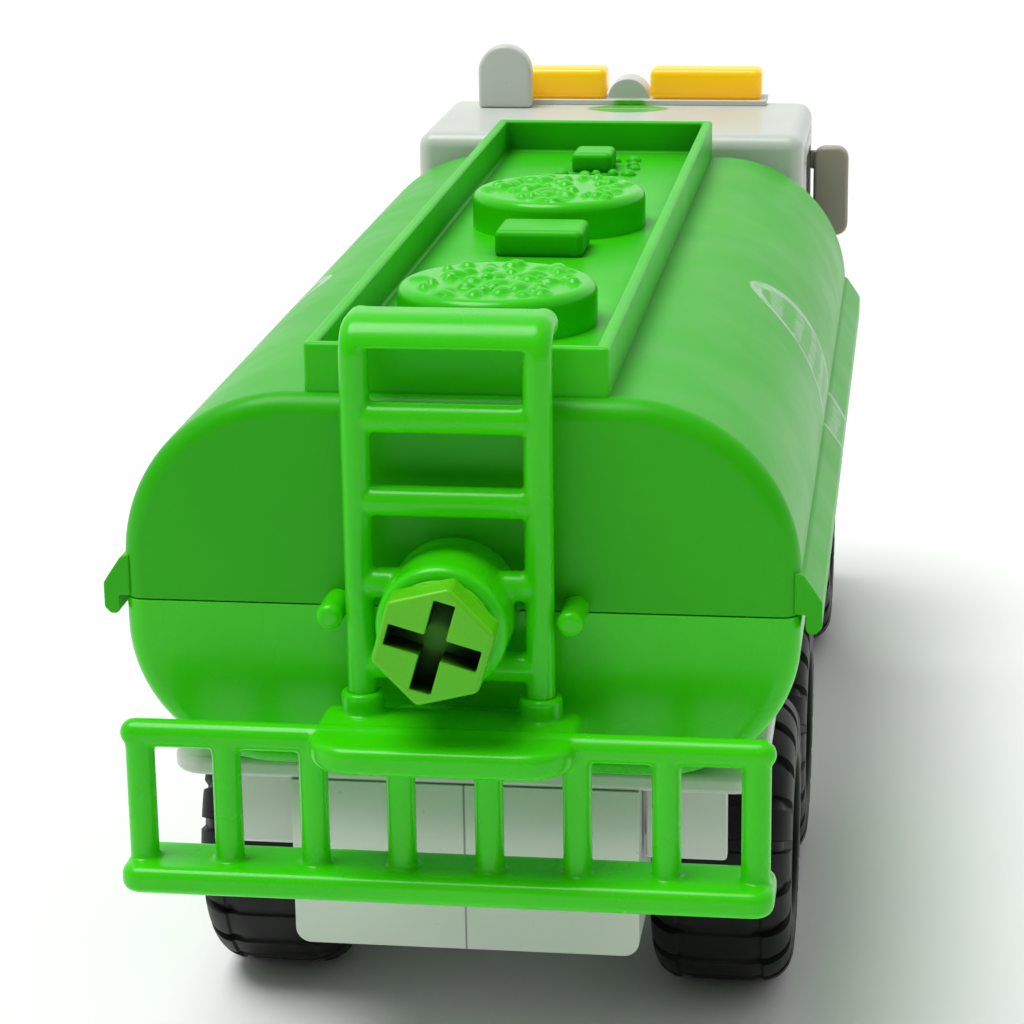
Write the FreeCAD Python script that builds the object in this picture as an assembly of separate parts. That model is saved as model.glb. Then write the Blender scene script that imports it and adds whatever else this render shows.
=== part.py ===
import FreeCAD, Part
import math
import os

# Plastic take-apart toy tanker truck, in millimetres.
# Frame: +Z up, the cab faces -Y, the ladder end faces +Y, X runs across the truck.
# The origin is on the ground, in the middle of the truck's length and width.

# ---- driving dimensions -------------------------------------------------------------------
FRONT_REACH = 269.0          # tank's rear face to the front bumper's nose
REAR_REACH = 22.5            # tank's rear face to the back edge of the step
TANK_REAR_Y = (FRONT_REACH - REAR_REACH) / 2

WALL = 2.0                   # general moulding thickness
FIT_GAP = 0.05               # radial clearance of a running fit
SEAT_GAP = 0.1               # between flat faces that turn or slide on each other
PAST = 1.0                   # how far a cutter runs past the face that it opens

SEAM_Z = 78.9                # height of the joint between the two tank shells
TANK_LENGTH = 208.0
TANK_HALF_WIDTH = 50.5
TANK_CROWN = 31.8            # seam to the top of the upper shell
TANK_BELLY = 26.2            # seam to the underside of the lower shell
CROWN_RADIUS = 26.0          # upper corners of the tank's section
BELLY_RADIUS = 22.0          # lower corners of the tank's section
TANK_END_RADIUS = 3.2

RAIL_HALF_WIDTH = 53.6       # outer faces of the side rails along the seam
RAIL_END_GAP = 0.6           # tank's end faces to the ends of the side rails
RAIL_LIP = 2.4               # width of the side rail's hanging lip

TRAY_HALF_WIDTH = 22.4
TRAY_WALL = 1.95
TRAY_REAR = 2.8              # tank's rear face to the tray's rear face
TRAY_LENGTH = 204.4
TRAY_TOP_Z = 118.0
TRAY_FLOOR_Z = 111.5

LID_RADIUS = 15.9
LID_TOP_Z = 118.2
LID_STATIONS = (46.7, 127.4)  # tank's rear face to each lid's centre
LID_EDGE_RADIUS = 1.8
LID_SPIGOT_RADIUS = 6.0      # the lid's peg through the tray and the tank's crown
LID_SPIGOT_LENGTH = 4.0
REAR_BLOCK = (7.8, 97.0, 109.0, 116.2)    # half width, first and last station, top
FRONT_BLOCK = (4.1, 181.0, 190.5, 115.5)

TYRE_RADIUS = 24.0
TYRE_INNER_X = 25.6
TYRE_OUTER_X = 48.2
TYRE_SHOULDER = 6.0
RIM_RADIUS = 13.5
HUB_SETBACK = 0.6            # how far the hub's inner end stands inside the tyre's
HUB_WEB = 2.0                # thickness of the hub's rim and middle
HUB_TUBE_RADIUS = 6.0        # tube that runs on the axle
HUB_DISH = 3.4               # depth of the hub's dished outer face
STUD_CIRCLE_RADIUS = 7.4
STUD_RADIUS = 1.1
STUD_COUNT = 6
AXLE_RADIUS = 1.75
AXLE_REACH = TYRE_OUTER_X - 6.0
AXLES = {"rear": 50.0, "middle": 103.0, "front": 225.0}  # tank's rear face to each axle

DECK_HALF_WIDTH = 45.4
DECK_TOP_Z = SEAM_Z - TANK_BELLY
DECK_THICKNESS = 3.0
DECK_FRONT = 204.0           # tank's rear face to the deck's front edge
DECK_CORNER_RADIUS = 5.0
BEAM_HALF_WIDTH = 22.0
BEAM_BOTTOM_Z = 19.9
TAIL_HALF_WIDTH = 26.6
TAIL_BOTTOM_Z = 22.9
TAIL_LENGTH = 20.0
CHASSIS_REAR = 3.0           # tank's rear face to the chassis's rear face
CHASSIS_FRONT = 255.5
AXLE_BOSS_RADIUS = 4.0
AXLE_BOSS_REACH = 3.2        # how far an axle boss stands out of the beam's side

SCREW_RADIUS = 1.3
SCREW_HEAD_RADIUS = 2.6
SCREW_HEAD_HEIGHT = 1.6
SCREW_SLOT = 0.8             # width and depth of the slots in a screw's head
SCREW_GRIP = 8.0             # how far an upright screw bites into the last part
SCREW_POST_RADIUS = 3.6
HEAD_WELL_RADIUS = 3.2       # well in the beam that the upright screws' heads sit in
HEAD_SEAT_Z = 42.9
UPRIGHT_SCREW_X = 12.0
TANK_SCREW_STATIONS = (30.0, 178.0)
CAB_SCREW_STATION = 240.0
SIDE_SCREW_STATIONS = (14.0, 76.5, 150.0, 190.0)
SIDE_SCREW_Z = 40.9
SIDE_LUG_RADIUS = 3.4
SIDE_SCREW_RADIUS = 1.2
SIDE_HEAD_RADIUS = 2.3
SLOT_REACH = 1.5             # half the length of a side screw's slot
SIDE_SEAT_X = WALL - BEAM_HALF_WIDTH
SIDE_SCREW_TIP_X = 12.0
MUDFLAP_X = (27.2, 39.5)
MUDFLAP_STATIONS = (8.0, 10.2)
MUDFLAP_BOTTOM_Z = 36.9

CAB_REAR = 213.0
CAB_FRONT = 263.5
CAB_HALF_WIDTH = 41.0
CAB_EDGE_RADIUS = 4.0
CAB_RAKE = 2.5               # how far the windscreen leans back
CAB_BOTTOM_Z = 30.9
CAB_ROOF_Z = 113.9
CAB_FLOOR_Z = DECK_TOP_Z - DECK_THICKNESS
BELT_Z = 80.9                # height at which the windscreen starts to lean back
WINDOW_BOTTOM_Z = BELT_Z + 1.0
WINDOW_CORNER_RADIUS = 2.5
WINDSCREEN_HALF_WIDTH = 34.5
WINDSCREEN_TOP_Z = CAB_ROOF_Z - 7.0
SIDE_WINDOW_STATIONS = (225.0, 254.0)
SIDE_WINDOW_TOP_Z = CAB_ROOF_Z - 8.0
GLASS_INSET = 0.5            # cab's outside to the glass
GLASS_FRAME = 1.25           # thickness of the frame that joins the panes inside the cab
GLASS_FRAME_LAP = 2.5        # how far that frame laps over the edges of the openings
ARCH_GAP = 2.4               # tyre to wheel arch

GRILLE_HALF_WIDTH = 24.0
GRILLE_THICKNESS = 1.6
GRILLE_Z = (48.9, 74.9)
SLAT_COUNT = 4
SLAT_PITCH = 5.4
SLAT_HEIGHT = 2.8
SLAT_DEPTH = 0.9

BUMPER_HALF_WIDTH = 44.5
BUMPER_Z = (16.9, 36.9)
BUMPER_BACK = 255.5
BUMPER_CORNER_RADIUS = 4.0
PLATE_HALF_WIDTH = 14.0      # shallow number-plate panel in the bumper's face
PLATE_Z = (20.9, 30.9)
PLATE_DEPTH = 1.2
HEADLIGHT_X = (25.0, 38.0)
HEADLIGHT_Z = (21.9, 31.9)
HEADLIGHT_DEPTH = 2.2

MIRROR_GAP = 0.9             # cab's side to the mirror's edge
MIRROR_WIDTH = 7.7
MIRROR_Z = (85.9, 105.7)
MIRROR_STATIONS = (248.0, 252.0)
MIRROR_ARM_Z = (104.9, 108.9)

LIGHT_BAR_HALF_WIDTH = 31.0
LIGHT_BAR_STATIONS = (253.5, 263.5)
LIGHT_BASE_HEIGHT = 1.2
DOME_RADIUS = 4.6            # grey dome between the two lenses
LENS_X = (4.9, 29.9)
LENS_HEIGHT = 6.7
INTAKE_X = 27.0
INTAKE_RADIUS = 5.95
INTAKE_RISE = 8.0            # roof to the centre of the tab's round top
INTAKE_STATIONS = (248.0, 252.5)

LADDER_Y_OFFSET = 6.2        # rail centres behind the tank's rear face
RAIL_SPACING = 13.2          # half the distance between the ladder's rails
RAIL_RADIUS = 2.15
RUNG_RADIUS = 2.25
RUNG_PITCH = 12.4
RAIL_BEND_RADIUS = 3.6
LADDER_TIP = 1.8             # tank's rear face to the forward end of the bent rails
LADDER_BAR_BACK = 1.6        # how far the top bar reaches behind the rails' centres
LADDER_TOP_Z = 121.9
RUNG_COUNT = 4
BOLT_Z = 80.4
BOSS_RADIUS = 9.6
BOSS_LENGTH = 15.4
BOSS_EDGE_RADIUS = 1.6

BOLT_CORNER_RADIUS = 9.2     # hexagon centre to corner
BOLT_HEAD_LENGTH = 6.0
BOLT_SHANK_RADIUS = 4.0
BOLT_TIP = 13.5              # tank's rear face to the shank's end
BOLT_TILT = 14.0             # how far the hexagon is turned, in degrees
RECESS_TILT = 16.0           # how far the cross is turned, in degrees
RECESS_REACH = 6.85
RECESS_SLOT = 3.1
RECESS_DEPTH = 4.6
WASHER_RADIUS = 7.9
WASHER_THICKNESS = 0.8
TANK_BOLT_HOLE_RADIUS = 4.6
NUT_CORNER_RADIUS = 8.0
NUT_THICKNESS = 6.0

STEP_HALF_WIDTH = 19.3
STEP_TOP_Z = 64.7
STEP_THICKNESS = 4.2
STEP_CORNER_RADIUS = 7.0
STEP_BACK = 3.2              # gap from the tank's rear face to the step
TONGUE_HALF_WIDTH = 9.0      # the step's tongue, which plugs into the tank's rear wall
TONGUE_THICKNESS = 2.0
SOCKET_RADIUS = 3.2
SOCKET_HEIGHT = 3.4
SOCKET_DEPTH = 2.6
GUARD_Y_OFFSET = 14.0        # guard's centre behind the tank's rear face
GUARD_HALF_WIDTH = 48.0
GUARD_BAR_RADIUS = 2.1
GUARD_BAR_Z = STEP_TOP_Z - 1.6
GUARD_BOTTOM_Z = 39.5
SHELF_DEPTH = 12.0
SHELF_HEIGHT = 4.2
SHELF_LIP = 3.4              # how far the shelf stands out behind the uprights
UPRIGHT_COUNT = 8
UPRIGHT_RADIUS = 2.15
UPRIGHT_PITCH = 12.9

PEG_X = 17.7
PEG_Z = SEAM_Z + 0.6
PEG_RADIUS = 1.95
PEG_LENGTH = 8.2

THROUGH = 60.0               # reach of a cutter that passes right across the truck

X_AXIS = FreeCAD.Vector(1, 0, 0)
Y_AXIS = FreeCAD.Vector(0, 1, 0)
Z_AXIS = FreeCAD.Vector(0, 0, 1)


# ---- helpers ------------------------------------------------------------------------------
def at(distance):
    """Y of a station that lies this far ahead of the tank's rear face."""
    return TANK_REAR_Y - distance


def vec(x, y, z):
    return FreeCAD.Vector(x, y, z)


def box(x_range, y_range, z_range):
    x0, x1 = sorted(x_range)
    y0, y1 = sorted(y_range)
    z0, z1 = sorted(z_range)
    return Part.makeBox(x1 - x0, y1 - y0, z1 - z0, vec(x0, y0, z0))


def rod(radius, start, end):
    """A cylinder from one point to another."""
    axis = end - start
    return Part.makeCylinder(radius, axis.Length, start, axis)


def fuse(*shapes):
    return shapes[0].multiFuse(list(shapes[1:])).removeSplitter()


def mirrored(shape):
    return shape.mirror(vec(0, 0, 0), X_AXIS)


def prism(points, direction):
    """A closed polygon swept along a direction."""
    face = Part.Face(Part.makePolygon(points + points[:1]))
    return face.extrude(direction)


def rounded(shape, radius, wanted):
    """Fillet the edges that the test picks."""
    return shape.makeFillet(radius, [edge for edge in shape.Edges if wanted(edge)])


def is_parallel(edge, axis):
    if not isinstance(edge.Curve, Part.Line):
        return False
    return abs(abs(edge.Curve.Direction.dot(axis)) - 1) < 1e-6


def is_near(value, target):
    return abs(value - target) < 0.1


def centre_of(edge):
    return edge.BoundBox.Center


def save(shape, node):
    for index, solid in enumerate(shape.Solids):
        if not solid.isValid():
            raise ValueError(f"{node}: solid {index} is not valid")
    shape.exportStep(f"parts/{node}.step")


# ---- tank ---------------------------------------------------------------------------------
def tank_half(inset, upper, y_back, length):
    """A solid half tank, seam to crown or seam to belly, shrunk by the inset."""
    way = 1 if upper else -1
    half_width = TANK_HALF_WIDTH - inset
    height = (TANK_CROWN if upper else TANK_BELLY) - inset
    radius = (CROWN_RADIUS if upper else BELLY_RADIUS) - inset
    block = box((-half_width, half_width), (y_back - length, y_back), (SEAM_Z, SEAM_Z + way * height))
    far_z = SEAM_Z + way * height
    return rounded(block, radius, lambda edge: is_parallel(edge, Y_AXIS)
                   and is_near(centre_of(edge).z, far_z))


def tank_shell(upper):
    """One hollow half tank with rounded ends."""
    outer = tank_half(0.0, upper, at(0), TANK_LENGTH)
    outer = rounded(outer, TANK_END_RADIUS, is_end_outline)
    inner = tank_half(WALL, upper, at(WALL), TANK_LENGTH - 2 * WALL)
    return outer.cut(inner)


def is_end_outline(edge):
    """The outline of an end face, but not its straight seam line."""
    bounds = edge.BoundBox
    on_seam = abs(bounds.ZMin - SEAM_Z) < 0.01 and abs(bounds.ZMax - SEAM_Z) < 0.01
    return bounds.YLength < 0.01 and not on_seam


def side_rail():
    """The lip along the seam that laps over the lower shell, on the +X side."""
    section = (
        (TANK_HALF_WIDTH - 1.0, 6.6),
        (TANK_HALF_WIDTH + 0.3, 6.4),
        (RAIL_HALF_WIDTH - 0.9, 3.6),
        (RAIL_HALF_WIDTH, 2.2),
        (RAIL_HALF_WIDTH, -1.6),
        (RAIL_HALF_WIDTH - 0.9, -2.6),
        (RAIL_HALF_WIDTH - 1.9, -2.6),
        (RAIL_HALF_WIDTH - RAIL_LIP, -2.0),
        (RAIL_HALF_WIDTH - RAIL_LIP, 0.0),
        (TANK_HALF_WIDTH - 1.0, 0.0),
    )
    points = [vec(x, at(RAIL_END_GAP), SEAM_Z + z) for x, z in section]
    rail = prism(points, vec(0, 2 * RAIL_END_GAP - TANK_LENGTH, 0))
    corner_x = RAIL_HALF_WIDTH - 1.0
    return rounded(rail, 0.85, lambda edge: edge.BoundBox.YLength < 0.01
                   and centre_of(edge).x > corner_x)


def screw_posts(z_low, z_high):
    """The four posts inside the tank that the tank screws run up."""
    return [rod(SCREW_POST_RADIUS, vec(x, y, z_low), vec(x, y, z_high)) for x, y in tank_screw_places()]


def tank_screw_places():
    return [(x, at(station)) for x in (-UPRIGHT_SCREW_X, UPRIGHT_SCREW_X) for station in TANK_SCREW_STATIONS]


def cab_screw_places():
    return [(x, at(CAB_SCREW_STATION)) for x in (-UPRIGHT_SCREW_X, UPRIGHT_SCREW_X)]


def upright_screw(x, y, tip_z):
    """A cross-headed screw that is driven up from inside the chassis beam."""
    head_z = HEAD_SEAT_Z - SCREW_HEAD_HEIGHT
    head = rod(SCREW_HEAD_RADIUS, vec(x, y, head_z), vec(x, y, HEAD_SEAT_Z))
    shank = rod(SCREW_RADIUS, vec(x, y, HEAD_SEAT_Z), vec(x, y, tip_z))
    reach = SCREW_HEAD_RADIUS - 1.0
    half_slot = SCREW_SLOT / 2
    depth = (head_z, head_z + SCREW_SLOT)
    slot = box((x - half_slot, x + half_slot), (y - reach, y + reach), depth)
    cross = box((x - reach, x + reach), (y - half_slot, y + half_slot), depth)
    return fuse(head, shank).cut(slot).cut(cross)


def bolt_clearance(radius):
    return rod(radius, vec(0, at(-THROUGH), BOLT_Z), vec(0, at(THROUGH), BOLT_Z))


def tank_upper_shell():
    shell = tank_shell(True)
    post_top = SEAM_Z + TANK_CROWN - WALL / 2
    shell = fuse(shell, side_rail(), mirrored(side_rail()), *screw_posts(SEAM_Z, post_top))
    shell = shell.cut(bolt_clearance(TANK_BOLT_HOLE_RADIUS))
    for x, y in tank_screw_places():
        shell = shell.cut(rod(SCREW_RADIUS, vec(x, y, SEAM_Z - PAST), vec(x, y, SEAM_Z + SCREW_GRIP)))
    for station in LID_STATIONS:
        shell = shell.cut(lid_spigot(station))
    return shell


def tank_lower_shell():
    shell = tank_shell(False)
    shell = fuse(shell, *screw_posts(DECK_TOP_Z + WALL / 2, SEAM_Z))
    shell = shell.cut(bolt_clearance(TANK_BOLT_HOLE_RADIUS)).cut(step_tongue())
    for x, y in tank_screw_places():
        shell = shell.cut(rod(SCREW_RADIUS, vec(x, y, DECK_TOP_Z - PAST), vec(x, y, SEAM_Z + PAST)))
    return shell


def tank_screws():
    """Four long screws that clamp the beam, the deck and both tank shells."""
    return Part.makeCompound([upright_screw(x, y, SEAM_Z + SCREW_GRIP) for x, y in tank_screw_places()])


def walkway_tray():
    """The walled walkway on the tank's crown, with the two hinge blocks."""
    back = at(TRAY_REAR)
    front = back - TRAY_LENGTH
    low = SEAM_Z + TANK_CROWN - WALL
    outer = box((-TRAY_HALF_WIDTH, TRAY_HALF_WIDTH), (front, back), (low, TRAY_TOP_Z))
    inset = TRAY_HALF_WIDTH - TRAY_WALL
    well = box((-inset, inset), (front + TRAY_WALL, back - TRAY_WALL), (TRAY_FLOOR_Z, TRAY_TOP_Z + PAST))
    tray = fuse(outer.cut(well), hinge_block(*REAR_BLOCK), hinge_block(*FRONT_BLOCK))
    for station in LID_STATIONS:
        tray = tray.cut(lid_spigot(station))
    crown = tank_half(0.0, True, at(-PAST), TANK_LENGTH + 2 * PAST)
    return tray.cut(crown)


def hinge_block(half_width, start, end, top_z):
    block = box((-half_width, half_width), (at(end), at(start)), (TRAY_FLOOR_Z - WALL / 4, top_z))
    return rounded(block, 1.0, lambda edge: is_near(centre_of(edge).z, top_z))


def lid_spigot(station):
    """The peg under a lid, down through the tray's floor and the tank's crown."""
    low = vec(0, at(station), TRAY_FLOOR_Z - LID_SPIGOT_LENGTH)
    return rod(LID_SPIGOT_RADIUS, low, vec(0, at(station), TRAY_FLOOR_Z))


def filler_lid(station):
    """A round lid that stands in the tray."""
    disc = rod(LID_RADIUS, vec(0, at(station), TRAY_FLOOR_Z), vec(0, at(station), LID_TOP_Z))
    disc = rounded(disc, LID_EDGE_RADIUS, lambda edge: is_near(centre_of(edge).z, LID_TOP_Z))
    return fuse(disc, lid_spigot(station))


def seam_pegs():
    """Two round pegs on the seam that hold the ladder sideways."""
    pegs = []
    for x in (-PEG_X, PEG_X):
        peg = rod(PEG_RADIUS, vec(x, at(0), PEG_Z), vec(x, at(-PEG_LENGTH), PEG_Z))
        pegs.append(rounded(peg, 1.2, lambda edge: centre_of(edge).y > at(-PEG_LENGTH) - 0.1))
    return Part.makeCompound(pegs)


# ---- ladder, bolt and rear guard ----------------------------------------------------------
def ladder_rail(x):
    """One rail: up from the step, then bent forward over the tray's rear wall."""
    y = at(-LADDER_Y_OFFSET)
    bend = RAIL_BEND_RADIUS
    halfway = bend * (1 - math.sqrt(0.5))
    foot = vec(x, y, STEP_TOP_Z - SOCKET_DEPTH)
    shoulder = vec(x, y, LADDER_TOP_Z - bend)
    corner = vec(x, y - halfway, LADDER_TOP_Z - halfway)
    level = vec(x, y - bend, LADDER_TOP_Z)
    tip = vec(x, at(LADDER_TIP), LADDER_TOP_Z)
    path = Part.Wire([
        Part.makeLine(foot, shoulder),
        Part.Arc(shoulder, corner, level).toShape(),
        Part.makeLine(level, tip),
    ])
    circle = Part.Wire(Part.makeCircle(RAIL_RADIUS, foot, Z_AXIS))
    return path.makePipeShell([circle], True, True)


def ladder_top_bar():
    """The flat bar that ties the two bent rails together."""
    y_range = (at(-LADDER_Y_OFFSET - LADDER_BAR_BACK), at(LADDER_TIP))
    z_range = (LADDER_TOP_Z - RAIL_RADIUS, LADDER_TOP_Z + RAIL_RADIUS)
    bar = box((-RAIL_SPACING, RAIL_SPACING), y_range, z_range)
    return rounded(bar, 1.6, lambda edge: is_parallel(edge, X_AXIS))


def ladder():
    y = at(-LADDER_Y_OFFSET)
    rungs = []
    for step in range(1, RUNG_COUNT + 1):
        z = LADDER_TOP_Z - step * RUNG_PITCH
        rungs.append(rod(RUNG_RADIUS, vec(-RAIL_SPACING, y, z), vec(RAIL_SPACING, y, z)))
    boss = rod(BOSS_RADIUS, vec(0, at(0), BOLT_Z), vec(0, at(-BOSS_LENGTH), BOLT_Z))
    boss = rounded(boss, BOSS_EDGE_RADIUS, lambda edge: centre_of(edge).y > at(-BOSS_LENGTH) - 0.1)
    rails = [ladder_rail(-RAIL_SPACING), ladder_rail(RAIL_SPACING)]
    frame = fuse(boss, ladder_top_bar(), *rails, *rungs)
    return frame.cut(bolt_clearance(BOLT_SHANK_RADIUS + FIT_GAP))


def hexagon(corner_radius, y, tilt):
    points = []
    for corner in range(6):
        angle = math.radians(tilt + 60 * corner)
        points.append(vec(corner_radius * math.cos(angle), y, BOLT_Z + corner_radius * math.sin(angle)))
    return points


def rear_bolt():
    """The hexagon bolt with a deep cross recess."""
    seat = at(-BOSS_LENGTH - WASHER_THICKNESS - 2 * SEAT_GAP)
    face = seat + BOLT_HEAD_LENGTH
    head = prism(hexagon(BOLT_CORNER_RADIUS, seat, -BOLT_TILT), vec(0, BOLT_HEAD_LENGTH, 0))
    head = rounded(head, 0.8, lambda edge: centre_of(edge).y > face - 0.1)
    shank = rod(BOLT_SHANK_RADIUS, vec(0, seat, BOLT_Z), vec(0, at(BOLT_TIP), BOLT_Z))
    half_slot = RECESS_SLOT / 2
    depth = (face - RECESS_DEPTH, face + PAST)
    upright = box((-half_slot, half_slot), depth, (BOLT_Z - RECESS_REACH, BOLT_Z + RECESS_REACH))
    level = box((-RECESS_REACH, RECESS_REACH), depth, (BOLT_Z - half_slot, BOLT_Z + half_slot))
    recess = fuse(upright, level)
    recess.rotate(vec(0, 0, BOLT_Z), Y_AXIS, -RECESS_TILT)
    return fuse(head, shank).cut(recess)


def rear_bolt_washer():
    """The loose washer that backs out together with the bolt."""
    back = at(-BOSS_LENGTH - SEAT_GAP)
    disc = rod(WASHER_RADIUS, vec(0, back, BOLT_Z), vec(0, back + WASHER_THICKNESS, BOLT_Z))
    return disc.cut(bolt_clearance(BOLT_SHANK_RADIUS + FIT_GAP))


def rear_bolt_nut():
    """The nut held behind the tank's rear wall."""
    nut = prism(hexagon(NUT_CORNER_RADIUS, at(WALL), 0), vec(0, -NUT_THICKNESS, 0))
    return nut.cut(bolt_clearance(BOLT_SHANK_RADIUS + FIT_GAP))


def step_tongue():
    """The tongue that runs from the step into a slot in the tank's rear wall."""
    top = STEP_TOP_Z - (STEP_THICKNESS - TONGUE_THICKNESS) / 2
    return box((-TONGUE_HALF_WIDTH, TONGUE_HALF_WIDTH), (at(-STEP_BACK - PAST), at(WALL)),
               (top - TONGUE_THICKNESS, top))


def step_plate():
    back = at(-STEP_BACK)
    edge_y = at(-REAR_REACH)
    z_range = (STEP_TOP_Z - STEP_THICKNESS, STEP_TOP_Z)
    plate = box((-STEP_HALF_WIDTH, STEP_HALF_WIDTH), (back, edge_y), z_range)
    plate = rounded(plate, STEP_CORNER_RADIUS, lambda edge: is_parallel(edge, Z_AXIS)
                    and is_near(centre_of(edge).y, edge_y))
    return rounded(plate, 1.5, lambda edge: not is_parallel(edge, Z_AXIS) and centre_of(edge).y > back + 1)


def guard_bars():
    """The top bar, the uprights and the shelf along their feet."""
    y = at(-GUARD_Y_OFFSET)
    reach = GUARD_HALF_WIDTH - GUARD_BAR_RADIUS
    ends = (vec(-reach, y, GUARD_BAR_Z), vec(reach, y, GUARD_BAR_Z))
    bars = [rod(GUARD_BAR_RADIUS, *ends)]
    for end in ends:
        bars.append(Part.makeSphere(GUARD_BAR_RADIUS, end))
    for index in range(UPRIGHT_COUNT):
        x = (index - (UPRIGHT_COUNT - 1) / 2) * UPRIGHT_PITCH
        foot = vec(x, y, GUARD_BOTTOM_Z + SHELF_HEIGHT / 2)
        bars.append(rod(UPRIGHT_RADIUS, foot, vec(x, y, GUARD_BAR_Z)))
    back = y + UPRIGHT_RADIUS + SHELF_LIP
    shelf = box((-GUARD_HALF_WIDTH, GUARD_HALF_WIDTH), (back - SHELF_DEPTH, back),
                (GUARD_BOTTOM_Z, GUARD_BOTTOM_Z + SHELF_HEIGHT))
    shelf = rounded(shelf, 3.0, lambda edge: is_parallel(edge, Z_AXIS))
    bars.append(rounded(shelf, 1.6, lambda edge: not is_parallel(edge, Z_AXIS)))
    return bars


def rear_guard():
    """The step, its two ladder sockets and the barred guard, moulded in one."""
    y = at(-LADDER_Y_OFFSET)
    sockets = []
    holes = []
    for x in (-RAIL_SPACING, RAIL_SPACING):
        top = STEP_TOP_Z + SOCKET_HEIGHT
        sockets.append(rod(SOCKET_RADIUS, vec(x, y, STEP_TOP_Z - PAST), vec(x, y, top)))
        holes.append(rod(RAIL_RADIUS, vec(x, y, STEP_TOP_Z - SOCKET_DEPTH), vec(x, y, top + PAST)))
    guard = fuse(step_plate(), step_tongue(), *sockets, *guard_bars())
    for hole in holes:
        guard = guard.cut(hole)
    return guard


# ---- chassis ------------------------------------------------------------------------------
def chassis_deck():
    y_range = (at(CHASSIS_REAR), at(DECK_FRONT))
    z_range = (DECK_TOP_Z - DECK_THICKNESS, DECK_TOP_Z)
    deck = box((-DECK_HALF_WIDTH, DECK_HALF_WIDTH), y_range, z_range)
    deck = rounded(deck, DECK_CORNER_RADIUS, lambda edge: is_parallel(edge, Z_AXIS))
    deck = rounded(deck, 1.0, lambda edge: not is_parallel(edge, Z_AXIS))
    for x, y in tank_screw_places():
        deck = deck.cut(rod(SCREW_RADIUS, vec(x, y, CAB_FLOOR_Z - PAST), vec(x, y, DECK_TOP_Z + PAST)))
    return deck


def chassis_half(side):
    """One hollow half of the chassis beam; side is +1 or -1."""
    top = DECK_TOP_Z - DECK_THICKNESS
    tail_front = CHASSIS_REAR + TAIL_LENGTH
    beam = box((0, BEAM_HALF_WIDTH), (at(tail_front - PAST), at(CHASSIS_FRONT)), (BEAM_BOTTOM_Z, top))
    tail = box((0, TAIL_HALF_WIDTH), (at(CHASSIS_REAR), at(tail_front)), (TAIL_BOTTOM_Z, top))
    tail = rounded(tail, 2.4, lambda edge: is_parallel(edge, Y_AXIS)
                   and centre_of(edge).x > 1 and centre_of(edge).z < TAIL_BOTTOM_Z + 1)
    hollow = box((-PAST, BEAM_HALF_WIDTH - WALL), (at(CHASSIS_REAR + WALL), at(CHASSIS_FRONT - WALL)),
                 (TAIL_BOTTOM_Z + WALL, top - WALL))
    half = fuse(fuse(beam, tail).cut(hollow), *axle_bosses(), *side_screw_lugs(), *screw_wells(top))
    for station in AXLES.values():
        half = half.cut(rod(AXLE_RADIUS + FIT_GAP, vec(-PAST, at(station), TYRE_RADIUS),
                            vec(TYRE_OUTER_X, at(station), TYRE_RADIUS)))
    for x, y in tank_screw_places() + cab_screw_places():
        half = half.cut(rod(SCREW_RADIUS, vec(x, y, HEAD_SEAT_Z), vec(x, y, top + PAST)))
        half = half.cut(rod(HEAD_WELL_RADIUS, vec(x, y, BEAM_BOTTOM_Z - PAST), vec(x, y, HEAD_SEAT_Z)))
    return half if side > 0 else mirrored(half)


def axle_bosses():
    reach = BEAM_HALF_WIDTH + AXLE_BOSS_REACH
    return [rod(AXLE_BOSS_RADIUS, vec(0, at(station), TYRE_RADIUS), vec(reach, at(station), TYRE_RADIUS))
            for station in AXLES.values()]


def side_screw_lugs():
    reach = BEAM_HALF_WIDTH - WALL / 2
    return [side_screw_hole(SIDE_LUG_RADIUS, 0, reach, station) for station in SIDE_SCREW_STATIONS]


def screw_wells(top):
    """The tubes that the upright screws are driven through."""
    places = [place for place in tank_screw_places() + cab_screw_places() if place[0] > 0]
    return [rod(HEAD_WELL_RADIUS + WALL, vec(x, y, TAIL_BOTTOM_Z), vec(x, y, top)) for x, y in places]


def chassis_left():
    """The +X half, with plain pilot holes for the side screws."""
    half = chassis_half(1)
    for station in SIDE_SCREW_STATIONS:
        half = half.cut(side_screw_hole(SIDE_SCREW_RADIUS, -PAST, SIDE_SCREW_TIP_X, station))
    return half


def chassis_right():
    """The -X half, with counterbored holes for the side screws."""
    half = chassis_half(-1)
    for station in SIDE_SCREW_STATIONS:
        half = half.cut(side_screw_hole(SIDE_SCREW_RADIUS, PAST, -BEAM_HALF_WIDTH - PAST, station))
        well = side_screw_hole(SIDE_HEAD_RADIUS + SEAT_GAP, SIDE_SEAT_X, -TAIL_HALF_WIDTH - PAST, station)
        half = half.cut(well)
    return half


def side_screw_hole(radius, start_x, end_x, station):
    """A cylinder along a side screw's axis."""
    return rod(radius, vec(start_x, at(station), SIDE_SCREW_Z), vec(end_x, at(station), SIDE_SCREW_Z))


def chassis_screws():
    """The screws that pull the two chassis halves together."""
    screws = []
    slot_z = (SIDE_SCREW_Z - SCREW_SLOT / 2, SIDE_SCREW_Z + SCREW_SLOT / 2)
    outer = SIDE_SEAT_X - SCREW_HEAD_HEIGHT
    for station in SIDE_SCREW_STATIONS:
        shank = side_screw_hole(SIDE_SCREW_RADIUS, SIDE_SEAT_X, SIDE_SCREW_TIP_X, station)
        head = side_screw_hole(SIDE_HEAD_RADIUS, outer, SIDE_SEAT_X, station)
        slot_y = (at(station) - SLOT_REACH, at(station) + SLOT_REACH)
        slot = box((outer - PAST, outer + SCREW_SLOT), slot_y, slot_z)
        screws.append(fuse(head, shank).cut(slot))
    return Part.makeCompound(screws)


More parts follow.
